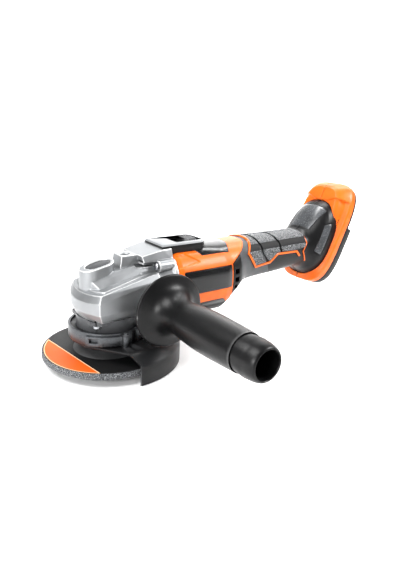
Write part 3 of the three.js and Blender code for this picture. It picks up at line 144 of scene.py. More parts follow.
def turned(name, profile, sides=96):
    """A solid of revolution about Z. The profile is a closed loop of (radius, height)."""
    points, faces = [], []
    count = len(profile)
    for i in range(sides):
        turn = 2 * math.pi * i / sides
        points += [(r * math.cos(turn), r * math.sin(turn), z) for r, z in profile]
    for i in range(sides):
        for k in range(count):
            a, b = i * count + k, i * count + (k + 1) % count
            c, d = ((i + 1) % sides) * count + (k + 1) % count, ((i + 1) % sides) * count + k
            faces.append((a, b, c, d))
    piece = shape(name, points, faces)
    work = bmesh.new()
    work.from_mesh(piece.data)
    bmesh.ops.remove_doubles(work, verts=work.verts, dist=1e-6)
    bmesh.ops.dissolve_degenerate(work, edges=work.edges, dist=1e-6)
    work.to_mesh(piece.data)
    work.free()
    outward(piece)
    return piece


def eased(profile, passes=2, keep=0.25):
    """Rounds every corner of a closed loop by cutting it back again and again."""
    for _ in range(passes):
        cut = []
        for i, (x0, y0) in enumerate(profile):
            x1, y1 = profile[(i + 1) % len(profile)]
            cut.append((x0 + (x1 - x0) * keep, y0 + (y1 - y0) * keep))
            cut.append((x1 - (x1 - x0) * keep, y1 - (y1 - y0) * keep))
        profile = cut
    return profile


def section(x, z, half, up, down, tilt=0, power=2.6, points=112):
    """A rounded cross-section of the body: half width and reaches up and down from its centre."""
    lean = math.radians(tilt)

    def swell(value):
        return math.copysign(abs(value) ** (2 / power), value)

    ring = []
    for i in range(points):
        angle = 2 * math.pi * i / points
        rise = swell(math.sin(angle))
        v = rise * (up if rise > 0 else down)
        ring.append((x + v * math.sin(lean), half * swell(math.cos(angle)), z + v * math.cos(lean)))
    return ring


def flowing(rows, steps):
    """Rows of section sizes, with smooth rows put between them."""
    rows = [tuple(r) + (0,) * (6 - len(r)) for r in rows]
    made = []
    for i in range(len(rows) - 1):
        before, a, b, after = rows[max(i - 1, 0)], rows[i], rows[i + 1], rows[min(i + 2, len(rows) - 1)]
        span = b[0] - a[0]
        for s in range(steps):
            t = s / steps
            row = [a[0] + span * t]
            for k in range(1, 6):
                m0 = (b[k] - before[k]) / max(b[0] - before[0], 1e-6) * span
                m1 = (after[k] - a[k]) / max(after[0] - a[0], 1e-6) * span
                row.append(
                    (2 * t**3 - 3 * t**2 + 1) * a[k] + (t**3 - 2 * t**2 + t) * m0
                    + (3 * t**2 - 2 * t**3) * b[k] + (t**3 - t**2) * m1
                )
            made.append(row)
    made.append(rows[-1])
    return made


def bake(piece):
    """Turns a piece and its modifiers into a plain mesh."""
    graph = bpy.context.evaluated_depsgraph_get()
    mesh = bpy.data.meshes.new_from_object(piece.evaluated_get(graph))
    piece.modifiers.clear()
    piece.data = mesh
    return piece


def combine(piece, others, operation):
    for other in others:
        step = piece.modifiers.new("combine", "BOOLEAN")
        step.operation = operation
        step.solver = "MANIFOLD"
        step.object = other
        bake(piece)
        bpy.data.objects.remove(other)
    return piece


def add(piece, *others):
    return combine(piece, others, "UNION")


def carve(piece, *others):
    return combine(piece, others, "DIFFERENCE")


def within(piece, region):
    return combine(piece, [region], "INTERSECT")


def soften(piece, voxel, passes, share=0.4):
    """Rounds every edge, as a mould or a casting has it: a fine skin is laid over the piece and eased."""
    skin = piece.modifiers.new("skin", "REMESH")
    skin.mode = "VOXEL"
    skin.voxel_size = voxel * MM
    ease = piece.modifiers.new("ease", "SMOOTH")
    ease.factor = 0.5
    ease.iterations = passes
    thin = piece.modifiers.new("thin", "DECIMATE")
    thin.ratio = share
    bake(piece)
    piece.data.shade_smooth()
    return piece


def edged(piece, width, segments=2, angle=30):
    """Breaks the sharp edges with a small round and shades the rest smooth."""
    step = piece.modifiers.new("edge", "BEVEL")
    step.width = width * MM
    step.segments = segments
    step.limit_method = "ANGLE"
    step.angle_limit = math.radians(angle)
    step.harden_normals = False
    bake(piece)
    smooth(piece, 40)
    return piece


def smooth(piece, angle=35):
    piece.data.shade_smooth()
    piece.data.set_sharp_from_angle(angle=math.radians(angle))
    return piece


def placed(piece, matrix):
    piece.data.transform(matrix)
    if matrix.determinant() < 0:
        piece.data.flip_normals()
    piece.data.update()
    return piece


def copy_of(piece, name):
    return link(name, piece.data.copy())


def half_of(piece, side):
    low, high = (-FAR, -GAP / 2) if side < 0 else (GAP / 2, FAR)
    return within(piece, block("half", -FAR, FAR, low, high, -FAR, FAR))


def settle(piece, body, material, slot, *nodes):
    """Gives a finished piece its material and makes it ride in place of its CAD nodes. The slot is not used.
    """
    piece.data.materials.clear()
    for one in material if isinstance(material, list) else [material]:
        piece.data.materials.append(one)
    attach(piece, body)
    if nodes:
        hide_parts(*nodes)
    return piece


# ---------------------------------------------------------------- materials
def linear(code):
    """An sRGB hex value as the linear colour that the shader takes."""
    channels = [int(code[i : i + 2], 16) / 255 for i in (1, 3, 5)]
    return [c / 12.92 if c <= 0.04045 else ((c + 0.055) / 1.055) ** 2.4 for c in channels] + [1]


NOISE, RAMP, BUMP = "ShaderNodeTexNoise", "ShaderNodeValToRGB", "ShaderNodeBump"
MIX, MATH, VECTOR, CELLS = "ShaderNodeMix", "ShaderNodeMath", "ShaderNodeVectorMath", "ShaderNodeTexVoronoi"
# input and output numbers of a colour mix
FACTOR, A, B, MIXED = 0, 6, 7, 2


def add_node(tree, kind, inputs=None, out=0, stops=None, **settings):
    """Adds a node with its settings and links. An input is a value or the socket that feeds it."""
    made = tree.nodes.new(kind)
    for key, value in settings.items():
        setattr(made, key, value)
    for key, value in (inputs or {}).items():
        if isinstance(value, bpy.types.NodeSocket):
            tree.links.new(value, made.inputs[key])
        else:
            made.inputs[key].default_value = value
    if stops:
        while len(made.color_ramp.elements) < len(stops):
            made.color_ramp.elements.new(0.5)
        for element, (position, tone) in zip(made.color_ramp.elements, stops):
            element.position = position
            element.color = linear(tone) if isinstance(tone, str) else (tone, tone, tone, 1)
    return made.outputs[out] if made.outputs else None


def per(size):
    """The texture scale for a pattern of this size in millimetres."""
    return 1 / (size * MM)


def surface(name, shader, build):
    """A material with one principled shader. build gets the tree and coordinates and returns what to link."""
    made = bpy.data.materials.new(name)
    made.use_nodes = True
    tree = made.node_tree
    tree.nodes.clear()
    where = add_node(tree, "ShaderNodeTexCoord", out="Object")
    finish = add_node(tree, "ShaderNodeBsdfPrincipled", {**shader, **build(tree, where)})
    add_node(tree, "ShaderNodeOutputMaterial", {"Surface": finish})
    return made


def cast_aluminium():
    # die-cast aluminium, bead blasted: an even silver sheen, fine frosted grain, painted shade darkening the
    # hollows and creases, and a painted highlight with some scuffing brightening the edges
    def build(tree, where):
        grain = add_node(tree, NOISE, {"Vector": where, "Scale": per(0.5)})
        cloud = add_node(tree, NOISE, {"Vector": where, "Scale": per(14)})
        edge_curvature = add_node(tree, "ShaderNodeNewGeometry", out="Pointiness")
        # by curvature: painted shade in the hollows (dark), the plain tone on flat faces, a painted highlight
        # with some scuffing on the edges (near white)
        shade_glint_and_scuffs = [(0.42, "#1c1d1e"), (0.488, "#96989a"), (0.51, "#9a9c9e"), (0.545, "#f4f4f4")]
        tone = add_node(tree, RAMP, {0: edge_curvature}, stops=shade_glint_and_scuffs)
        cloudy = add_node(tree, RAMP, {0: cloud}, stops=[(0.35, 0.9), (0.65, 1.0)])
        both = {FACTOR: 1.0, A: tone, B: cloudy}
        colour = add_node(tree, MIX, both, MIXED, data_type="RGBA", blend_type="MULTIPLY")
        rough = add_node(tree, RAMP, {0: cloud}, stops=[(0.3, 0.4), (0.7, 0.5)])
        bump = add_node(tree, BUMP, {"Height": grain, "Distance": 0.06 * MM, "Strength": 0.5})
        return {"Base Color": colour, "Roughness": rough, "Normal": bump}
    return surface("cast_aluminium_bead_blasted", {"Metallic": 0.85}, build)


def machined_steel():
    # turned and ground steel: bright, with fine tool marks
    def build(tree, where):
        marks = add_node(tree, NOISE, {"Vector": where, "Scale": per(0.8), "Detail": 3.0})
        colour = add_node(tree, RAMP, {0: marks}, stops=[(0.3, "#8b8d91"), (0.7, "#b9bbbe")])
        rough = add_node(tree, RAMP, {0: marks}, stops=[(0.3, 0.24), (0.7, 0.38)])
        bump = add_node(tree, BUMP, {"Height": marks, "Distance": 0.02 * MM, "Strength": 0.4})
        return {"Base Color": colour, "Roughness": rough, "Normal": bump}
    return surface("machined_steel", {"Metallic": 1.0}, build)


def band_steel():
    # rolled steel strip with a satin zinc finish, darker in its scratches
    def build(tree, where):
        drawn = add_node(tree, "ShaderNodeMapping", {"Vector": where, "Scale": (1, 1, 6)})
        marks = add_node(tree, NOISE, {"Vector": drawn, "Scale": per(2), "Detail": 4.0})
        colour = add_node(tree, RAMP, {0: marks}, stops=[(0.3, "#444648"), (0.7, "#626467")])
        rough = add_node(tree, RAMP, {0: marks}, stops=[(0.3, 0.3), (0.7, 0.5)])
        bump = add_node(tree, BUMP, {"Height": marks, "Distance": 0.03 * MM, "Strength": 0.5})
        return {"Base Color": colour, "Roughness": rough, "Normal": bump}
    return surface("zinc_steel_strip", {"Metallic": 0.9}, build)


def black_enamel():
    # pressed steel under semi-gloss black enamel: faint orange peel, a soft highlight, edges made paler by a
    # painted highlight with some scuffing
    def build(tree, where):
        peel = add_node(tree, NOISE, {"Vector": where, "Scale": per(1.4), "Detail": 1.0})
        dust = add_node(tree, NOISE, {"Vector": where, "Scale": per(25)})
        edge_curvature = add_node(tree, "ShaderNodeNewGeometry", out="Pointiness")
        # paler on the edges: a painted highlight, with some scuffing
        colour = add_node(tree, RAMP, {0: edge_curvature}, stops=[(0.52, "#0c0c0d"), (0.6, "#47484a")])
        rough = add_node(tree, RAMP, {0: dust}, stops=[(0.3, 0.36), (0.7, 0.46)])
        bump = add_node(tree, BUMP, {"Height": peel, "Distance": 0.03 * MM, "Strength": 0.5})
        return {"Base Color": colour, "Roughness": rough, "Normal": bump}
    return surface("black_enamelled_steel", {"Specular IOR Level": 0.24}, build)


def moulded(name, colours, rough, grain=0.45, depth=0.05, coat=0.0, shine=0.5, glint_and_scuff=0.12):
    """A plain finish in two close tones with the fine random grain of its mould, which is in mm."""
    def build(tree, where):
        texture = add_node(tree, NOISE, {"Vector": where, "Scale": per(grain)})
        cloud = add_node(tree, NOISE, {"Vector": where, "Scale": per(18)})
        tone = add_node(tree, RAMP, {0: cloud}, stops=[(0.35, colours[0]), (0.65, colours[1])])
        edge_curvature = add_node(tree, "ShaderNodeNewGeometry", out="Pointiness")
        # paler toward white on the edges: a painted highlight, with some scuffing
        glint_and_scuff_mask = add_node(tree, RAMP, {0: edge_curvature}, stops=[(0.55, 0.0), (0.66, glint_and_scuff)])
        colour = add_node(tree, MIX, {FACTOR: glint_and_scuff_mask, A: tone, B: linear("#ffffff")}, MIXED, data_type="RGBA")
        gloss = add_node(tree, RAMP, {0: texture}, stops=[(0.35, rough - 0.05), (0.65, rough + 0.05)])
        bump = add_node(tree, BUMP, {"Height": texture, "Distance": depth * MM, "Strength": 0.6})
        return {"Base Color": colour, "Roughness": gloss, "Normal": bump}
    shader = {"IOR": 1.5, "Specular IOR Level": shine, "Coat Weight": coat, "Coat Roughness": 0.12}
    return surface(name, shader, build)


def two_tone_handle():
    # the handle's nylon in two colours: grey at the neck and under the grip's front, black behind
    def build(tree, where):
        slant = add_node(tree, VECTOR, {0: where, 1: (1, 0, 0.55)}, "Value", operation="DOT_PRODUCT")
        behind = add_node(tree, MATH, {0: slant, 1: 0.2185}, operation="GREATER_THAN")
        texture = add_node(tree, NOISE, {"Vector": where, "Scale": per(0.45)})
        cloud = add_node(tree, NOISE, {"Vector": where, "Scale": per(18)})
        grey = add_node(tree, RAMP, {0: cloud}, stops=[(0.35, "#3e4042"), (0.65, "#47494b")])
        black = add_node(tree, RAMP, {0: cloud}, stops=[(0.35, "#060607"), (0.65, "#0a0a0b")])
        colour = add_node(tree, MIX, {FACTOR: behind, A: grey, B: black}, MIXED, data_type="RGBA")
        rough = add_node(tree, RAMP, {0: texture}, stops=[(0.35, 0.33), (0.65, 0.42)])
        bump = add_node(tree, BUMP, {"Height": texture, "Distance": 0.04 * MM, "Strength": 0.5})
        return {"Base Color": colour, "Roughness": rough, "Normal": bump}
    return surface("two_tone_glass_filled_nylon", {"IOR": 1.5, "Specular IOR Level": 0.24}, build)


def grip_elastomer():
    # pebbled thermoplastic elastomer, grey specks on black, with a smooth chamfer band along each upper side
    def build(tree, where):
        height = add_node(tree, "ShaderNodeSeparateXYZ", {"Vector": where}, "Z")
        above = add_node(tree, MATH, {0: height, 1: 0.0828}, operation="GREATER_THAN")
        below = add_node(tree, MATH, {0: height, 1: 0.0893}, operation="LESS_THAN")
        band = add_node(tree, MATH, {0: above, 1: below}, operation="MULTIPLY")
        rest = add_node(tree, MATH, {0: 1.0, 1: band}, operation="SUBTRACT")
        pebble = add_node(tree, CELLS, {"Vector": where, "Scale": per(1)})
        fine = add_node(tree, NOISE, {"Vector": where, "Scale": per(0.8), "Detail": 3.0, "Roughness": 0.7})
        greys = [(0.4, "#222324"), (0.54, "#4a4c4e"), (0.64, "#b5b7b9")]
        specks = add_node(tree, RAMP, {0: fine}, stops=greys)
        plain = add_node(tree, RAMP, {0: fine}, stops=[(0.3, "#0c0c0d"), (0.7, "#131314")])
        colour = add_node(tree, MIX, {FACTOR: band, A: specks, B: plain}, MIXED, data_type="RGBA")
        rough = add_node(tree, RAMP, {0: fine}, stops=[(0.3, 0.7), (0.7, 0.52)])
        both = add_node(tree, MATH, {0: pebble, 1: fine}, operation="ADD")
        only = add_node(tree, MATH, {0: both, 1: rest}, operation="MULTIPLY")
        bump = add_node(tree, BUMP, {"Height": only, "Distance": 0.2 * MM, "Strength": 0.8})
        return {"Base Color": colour, "Roughness": rough, "Normal": bump}
    return surface("pebbled_grip_elastomer", {"Specular IOR Level": 0.25}, build)


def abrasive():
    # grey corundum grains in resin: pitted and rough, pale here and there
    def build(tree, where):
        cells = add_node(tree, CELLS, {"Vector": where, "Scale": per(1.1)})
        noise = add_node(tree, NOISE, {"Vector": where, "Scale": per(0.9), "Detail": 4.0, "Roughness": 0.7})
        grains = [(0.34, "#141415"), (0.5, "#47494b"), (0.6, "#8c8e91"), (0.7, "#d5d6d7")]
        colour = add_node(tree, RAMP, {0: noise}, stops=grains)
        rough = add_node(tree, RAMP, {0: noise}, stops=[(0.4, 0.95), (0.7, 0.7)])
        both = add_node(tree, MATH, {0: cells, 1: noise}, operation="ADD")
        bump = add_node(tree, BUMP, {"Height": both, "Distance": 0.5 * MM, "Strength": 0.9})
        return {"Base Color": colour, "Roughness": rough, "Normal": bump}
    return surface("bonded_abrasive", {}, build)


LABEL_TURN = -173.4  # degrees about the spindle that the orange segment lies at


def wheel_label():
    # the paper blotter on the wheel: black print with an orange segment inside a thin pale line
    def build(tree, where):
        turn = math.radians(LABEL_TURN)
        towards = (math.cos(turn), math.sin(turn), 0)
        reach = add_node(tree, VECTOR, {0: where, 1: towards}, "Value", operation="DOT_PRODUCT")
        flat = add_node(tree, VECTOR, {0: where, 1: (1, 1, 0)}, operation="MULTIPLY")
        radius = add_node(tree, VECTOR, {0: flat}, "Value", operation="LENGTH")
        marks = []
        for past, inside in ((38.9, 60.4), (39.8, 59.6)):
            beyond = add_node(tree, MATH, {0: reach, 1: past * MM}, operation="GREATER_THAN")
            near = add_node(tree, MATH, {0: radius, 1: inside * MM}, operation="LESS_THAN")
            marks.append(add_node(tree, MATH, {0: beyond, 1: near}, operation="MULTIPLY"))
        fibre = add_node(tree, NOISE, {"Vector": where, "Scale": per(0.6), "Detail": 3.0})
        black = add_node(tree, RAMP, {0: fibre}, stops=[(0.3, "#060607"), (0.7, "#0e0e0f")])
        orange = add_node(tree, RAMP, {0: fibre}, stops=[(0.3, "#d05204"), (0.7, "#da5c06")])
        line = linear("#f6c79a")
        lined = add_node(tree, MIX, {FACTOR: marks[0], A: black, B: line}, MIXED, data_type="RGBA")
        colour = add_node(tree, MIX, {FACTOR: marks[1], A: lined, B: orange}, MIXED, data_type="RGBA")
        rough = add_node(tree, RAMP, {0: fibre}, stops=[(0.3, 0.5), (0.7, 0.62)])
        bump = add_node(tree, BUMP, {"Height": fibre, "Distance": 0.03 * MM, "Strength": 0.5})
        return {"Base Color": colour, "Roughness": rough, "Normal": bump}
    return surface("printed_blotter", {"Specular IOR Level": 0.3}, build)


aluminium = cast_aluminium()
steel = machined_steel()
strip_steel = band_steel()
enamel = black_enamel()
handle_two_tone = two_tone_handle()
rubber = grip_elastomer()
grit = abrasive()
blotter = wheel_label()
# dyed orange, spark-eroded mould: strong even colour, a soft sheen, edges painted paler as a highlight with
# some scuffing
orange_nylon = moulded(
    "orange_glass_filled_nylon", ("#d95a04", "#e26508"), 0.4, coat=0.06, shine=0.3, glint_and_scuff=0.3,
)
# dyed black: deep and dull, with a broad faint highlight
black_nylon = moulded("black_glass_filled_nylon", ("#060607", "#09090a"), 0.44, shine=0.2)
# dyed black and a little smoother: a soft streak of light along the grip
handle_nylon = moulded(
    "side_handle_nylon", ("#060607", "#09090a"), 0.36, grain=0.6, depth=0.07, shine=0.26,
)
# dyed dark grey, coarser mould grain: a dry look where the thumb rests
button_nylon = moulded(
    "grey_button_nylon", ("#202123", "#303134"), 0.55, grain=0.8, depth=0.12, shine=0.3,
)
# silver paint over nylon: a flat mid grey without a metal's reflections
silver_nylon = moulded("silver_painted_nylon", ("#7a7c7e", "#86888a"), 0.4, shine=0.3)
# polished mould: black and glossy
gloss_panel = moulded(
    "gloss_black_panel", ("#08080a", "#0d0d0e"), 0.2, grain=3.0, depth=0.02, shine=0.4,
)
# polished mould in dark grey under a clear coat: facets that catch the lights
facet_panel = moulded(
    "gloss_grey_panel", ("#36383a", "#46484b"), 0.24, grain=2.0, depth=0.02, coat=0.15,
)
# grey paper glued over the wheel's hub: matt, with fibres
hub_paper = moulded("grey_hub_paper", ("#2b2c2d", "#363738"), 0.6, grain=0.7, depth=0.06)
# copper wire under varnish: warm brown with a wet shine
copper = moulded(
    "enamelled_copper_wire", ("#8a3d1c", "#b55a2c"), 0.3, grain=0.9, depth=0.2, coat=0.4,
)
# green board under resin: satin
circuit = moulded("potted_circuit", ("#123a25", "#1c4b32"), 0.5)


# ---------------------------------------------------------------- outlines shared by several pieces
def barrel(name, grow=0.0):
    rows = [
        (HEAD_REAR + GAP, MOTOR_Z, 33.5, 34.5, 33),
        (HEAD_REAR + 6, MOTOR_Z, 34.5, 35.5, 35),
        (BARREL_END - 9, MOTOR_Z, 34.5, 35.5, 35),
        (BARREL_END, MOTOR_Z, 33, 35.5, 30),
        (BARREL_END + 28, MOTOR_Z, 31.5, 36, 19),
    ]
    return loft(name, [section(x, z, h + grow, u + grow, d + grow) for x, z, h, u, d in rows])


HANDLE_ROWS = [
    (125, 58, 33, 35.5, 30, 0),
    (139, 62, 31, 32, 21, 0),
    (151, 67, 26.5, 27, 20, 0),
    (170, 71, 24, 22.5, 22.5, 0),
    (205, 71, 23, 22, 21, 0),
    (237, 72, 22.5, 21, 20, 0),
    (247, 72, 23.5, 23, 22, 8),
    (262, 76, 30, 50, 33, 20),
    (278.7, 76.9, 31, 52, 44, 25),
]


def grip(name, grow=0.0, run_out=0.0):
    rows = flowing(HANDLE_ROWS, 5)
    rings = [section(x, z, h + grow, u + grow, d + grow, t) for x, z, h, u, d, t in rows]
    if run_out:
        first, last = rows[0], rows[-1]
        lean = math.radians(last[5])
        rings.insert(0, section(first[0] - run_out, *[first[1], *[v + grow for v in first[2:5]]]))
        end = section(last[0] + run_out * math.cos(lean), last[1] - run_out * math.sin(lean),
                      *[v + grow for v in last[2:5]], last[5])
        rings.append(end)
    return loft(name, rings)


def side_prism(name, outline, low=-FAR, high=FAR):
    return prism(name, outline, low, high, "Y")


def behind_barrel(gap):
    low = BARREL_TOP - 18
    return side_prism("behind_barrel", [
        (BARREL_END + gap, -FAR), (FAR + BARREL_END, -FAR), (FAR + BARREL_END, FAR),
        (BARREL_END + 28 + gap, FAR), (BARREL_END + 28 + gap, BARREL_TOP), (BARREL_END + gap, low),
    ])


def vent_zone(gap):
    top = BARREL_TOP - 18
    return side_prism("vent_zone", [
        (BARREL_END + gap, 0), (NECK_X - gap, 0),
        (NECK_X - gap, top + 12 * 18 / 28 - 1.5 * gap), (BARREL_END + gap, top - 1.5 * gap),
    ])


def foot_place():
    return Matrix.Translation(Vector(FOOT_CENTRE) * MM) @ Matrix.Rotation(FOOT_TILT, 4, "Y")


def foot_loft(name, rows):
    """Cross-sections of the battery foot in its own frame: X out through the battery face, Z along it."""
    rings = [section(x, 0, half, up, down, power=3.7) for x, half, up, down in rows]
    return placed(loft(name, rings), foot_place())


def foot_block(name, *limits):
    return placed(block(name, *limits), foot_place())


def foot_outside(name, grow=0.0, rear=0.0, lip=0.0):
    w, up = 36 + grow, 62 + grow
    return foot_loft(name, [
        (-22 - grow, w - 11.5, up - 11.5, up - 18.5),
        (-19.5 - grow, w - 8, up - 8, up - 13),
        (-15.5 - grow, w - 5 - lip, up - 4.8 - lip, up - 7.5 - lip),
        (-12 - grow, w - 2.8 - lip, up - 2.5 - lip, up - 4 - lip),
        (-9, w - 1, up - 0.9, up - 1.4),
        (-6.6, w, up, up),
        (rear, w, up, up),
    ])


def pill(length, half, centre, steps=24):
    """A round-ended outline along X."""
    straight = length / 2 - half
    outline = []
    for side, start in ((1, -90), (-1, 90)):
        for i in range(steps + 1):
            turn = math.radians(start + 180 * i / steps)
            outline.append((centre + side * straight + half * math.cos(turn), half * math.sin(turn)))
    return outline


def pad_top(x):
    return 83 + 0.2 * (x + 27)


# ---------------------------------------------------------------- pieces laid out by geometry nodes
def repeat_tree(material):
    """Instances of a pattern object on the points of a mesh, made real and given one material."""
    tree = bpy.data.node_groups.new("repeat_on_points", "GeometryNodeTree")
    for name, kind in (("Geometry", "NodeSocketGeometry"), ("Pattern", "NodeSocketObject"),
                       ("Turn", "NodeSocketVector"), ("Size", "NodeSocketFloat")):
        tree.interface.new_socket(name, in_out="INPUT", socket_type=kind)
    tree.interface.new_socket("Geometry", in_out="OUTPUT", socket_type="NodeSocketGeometry")
    given = add_node(tree, "NodeGroupInput").node.outputs
    pattern = add_node(tree, "GeometryNodeObjectInfo", {"Object": given["Pattern"]}, "Geometry")
    spread = add_node(tree, "GeometryNodeInstanceOnPoints", {
        "Points": given["Geometry"], "Instance": pattern, "Rotation": given["Turn"], "Scale": given["Size"],
    })
    real = add_node(tree, "GeometryNodeRealizeInstances", {"Geometry": spread})
    done = add_node(tree, "GeometryNodeSetMaterial", {"Geometry": real, "Material": material})
    add_node(tree, "NodeGroupOutput", {"Geometry": done})
    return tree


def repeated(name, points, pattern, material, turn=(0, 0, 0), size=1.0):
    """The pattern at each point, as one plain mesh. The pattern object is used up."""
    piece = shape(name, points, [])
    tree = repeat_tree(material)
    step = piece.modifiers.new("repeat", "NODES")
    step.node_group = tree
    sockets = {s.name: s.identifier for s in tree.interface.items_tree if s.in_out == "INPUT"}
    step[sockets["Pattern"]] = pattern
    step[sockets["Turn"]] = turn
    step[sockets["Size"]] = size
    bake(piece)
    bpy.data.objects.remove(pattern)
    smooth(piece)
    return piece


def screw_head(radius, height, rounded):
    """A screw head on its bearing face, with a six-lobe socket in its top."""
    if rounded:
        outline = [(0.01, 0), (radius, 0), (radius, height * 0.35), (radius * 0.86, height * 0.75),
                   (radius * 0.6, height * 0.95), (0.01, height)]
    else:
        outline = [(0.01, 0), (radius, 0), (radius, height * 0.86), (radius * 0.93, height), (0.01, height)]
    head = turned("screw_head", outline, 40)
    lobes = []
    for i in range(48):
        turn = 2 * math.pi * i / 48
        reach = radius * (0.5 + 0.07 * math.cos(6 * turn))
        lobes.append((reach * math.cos(turn), reach * math.sin(turn)))
    return carve(head, prism("lobes", lobes, height * 0.35, height + 1))


# ---------------------------------------------------------------- spindle and wheel
def grinding_wheel():
    wheel = turned("grinding_wheel", [
        (11.1, 3), (25, 3), (33, -2), (61.9, -2), (62.5, -1.4), (62.5, 3.5), (62.1, 4), (61.1, 4),
        (60.9, 4.12), (33.4, 4.12), (25.4, 9), (11.1, 9),
    ], 192)
    smooth(wheel, 30)
    settle(wheel, "spindle", [grit, blotter, hub_paper], "abrasive", "grinding_disc")
    for face in wheel.data.polygons:
        reach = face.center.xy.length / MM
        if face.normal.z > 0.3 and reach < 61:
            face.material_index = 1 if reach > 33.4 else 2
    return wheel


def spindle_pieces():
    thread = []
    for i in range(9):
        z = 1.0 + i * 1.5
        thread += [(6.35, z), (7.0, z + 0.55), (7.0, z + 0.85)]
    shaft = turned("spindle_shaft", [(0.01, 0), (6.2, 0), *thread, (7, 14.6), (8.5, 14.6), (8.5, 56.5),
                                     (4.8, 58.5), (4.8, 71), (0.01, 71)], 64)
    settle(smooth(shaft, 25), "spindle", steel, "steel", "spindle")
    flange = turned("wheel_flange", [
        (7.3, 7.3), (10.8, 7.3), (10.8, 9.3), (19.4, 9.3), (20, 9.8), (20, 11), (19.4, 11.5),
        (11.4, 13.5), (7.3, 13.5),
    ], 96)
    settle(smooth(flange, 25), "spindle", steel, "steel", "inner_flange")
    nut = turned("wheel_lock_nut", [
        (7.3, 0.3), (17.6, 0.3), (20, 1.6), (20, 2.4), (19.6, 2.7), (10.8, 2.7), (10.8, 4.7), (7.3, 4.7),
    ], 96)
    pins = []
    for i in range(4):
        x, y = 15 * math.cos(i * math.pi / 2), 15 * math.sin(i * math.pi / 2)
        pins.append(rod("pin_hole", (x, y, -1), (x, y, 1.9), 2.4, sides=24))
    settle(edged(carve(nut, *pins), 0.2), "spindle", enamel, "black_steel", "lock_nut")


# ---------------------------------------------------------------- guard
COLLAR_IN = NECK_R + 0.4
COLLAR_OUT = COLLAR_IN + 4.7
BAND_IN = COLLAR_OUT + GAP
BAND_OUT = BAND_IN + 2.2
LEVER_IN = BAND_OUT + 0.5
PIN_TURN = -94
PIN_REACH = LEVER_IN + 2.8


def at_turn(reach, degrees):
    return reach * math.cos(math.radians(degrees)), reach * math.sin(math.radians(degrees))


def arc(name, inner, outer, start, end, low, high, steps=90):
    turns = [start + (end - start) * i / steps for i in range(steps + 1)]
    outline = [at_turn(outer, t) for t in turns] + [at_turn(inner, t) for t in reversed(turns)]
    return prism(name, outline, low, high)


def guard_cover():
    cover = turned("wheel_guard", [
        (COLLAR_IN, 16.2), (55.4, 16.2), (57.4, 15.5), (66.4, 10.4), (67.7, 8.4), (67.7, -7.6),
        (67.2, -8.6), (68.6, -8.8), (69.4, -8.2), (69.5, 8.2), (69.4, 9.6), (68.5, 11),
        (58.2, 17.4), (56, 18), (COLLAR_IN, 18),
    ], 144)
    front = [(-3.2, 68), (-7.4, 56), (-32.7, 18.7)]
    mirrored = [(x, -y) for x, y in reversed(front)]
    outline = [(-36, 0), *mirrored, (-3.2, -FAR), (FAR, -FAR), (FAR, FAR), (-3.2, FAR), *front]
    within(cover, prism("guard_half", outline, -FAR, FAR))
    collar = turned("collar", [
        (COLLAR_IN, 16.2), (COLLAR_OUT, 16.2), (COLLAR_OUT, 28.5), (COLLAR_IN, 28.5),
    ], 144)
    add(cover, collar)
    settle(edged(cover, 0.35), "guard", enamel, "black_steel", "guard")


def guard_clamp():
    gap = PIN_TURN + 17
    band = arc("guard_clamp_band", BAND_IN, BAND_OUT, gap + 5, gap + 355, 18.3, 30.4, 160)
    px, py = at_turn(PIN_REACH, PIN_TURN)
    inside = rod("inside", (0, 0, 0), (0, 0, 60), BAND_IN, sides=160)
    rx, ry = at_turn(PIN_REACH - 2, PIN_TURN)
    knuckles = add(*[
        rod("knuckle", (x, y, low), (x, y, high), 3)
        for x, y in ((px, py), (rx, ry)) for low, high in ((28.9, 30.4), (18.3, 19.1))
    ])
    carve(knuckles, inside)
    add(band, knuckles)
    carve(band, rod("bore", (px, py, 0), (px, py, 60), 1.75, sides=24))
    settle(edged(band, 0.25), "guard", strip_steel, "steel", "guard_band")

    lever = arc("guard_clamp_lever", LEVER_IN, LEVER_IN + 2.6, -147, PIN_TURN, 19.4, 28.6, 60)
    eye = rod("eye", (px, py, 19.4), (px, py, 28.6), 3)
    carve(eye, rod("clear", (0, 0, 0), (0, 0, 60), LEVER_IN - 0.1, sides=160))
    add(lever, eye)
    carve(
        lever,
        rod("bore", (px, py, 0), (px, py, 60), 1.85, sides=24),
        arc("slot", LEVER_IN - 4, LEVER_IN + 8, -142, -130, 22.2, 26.6, 16),
        arc("thumb_hollow", LEVER_IN + 1.7, LEVER_IN + 8, -124, -101, 17, 22.4, 24),
    )
    settle(edged(lever, 0.25), "guard_lever", strip_steel, "steel", "guard_lever")


# ---------------------------------------------------------------- gear head
def head_tilt(x):
    return 0.2 * (x + 32)


def nose_outline(inset, rear=40):
    corner = 59 * math.sin(math.radians(32))
    outline = []
    for i in range(49):
        turn = math.radians(148 + 64 * i / 48)
        outline.append((27 + (59 - inset) * math.cos(turn), (59 - inset) * math.sin(turn)))
    return [*outline, (rear, -(corner - inset * 1.2)), (rear, corner - inset * 1.2)]


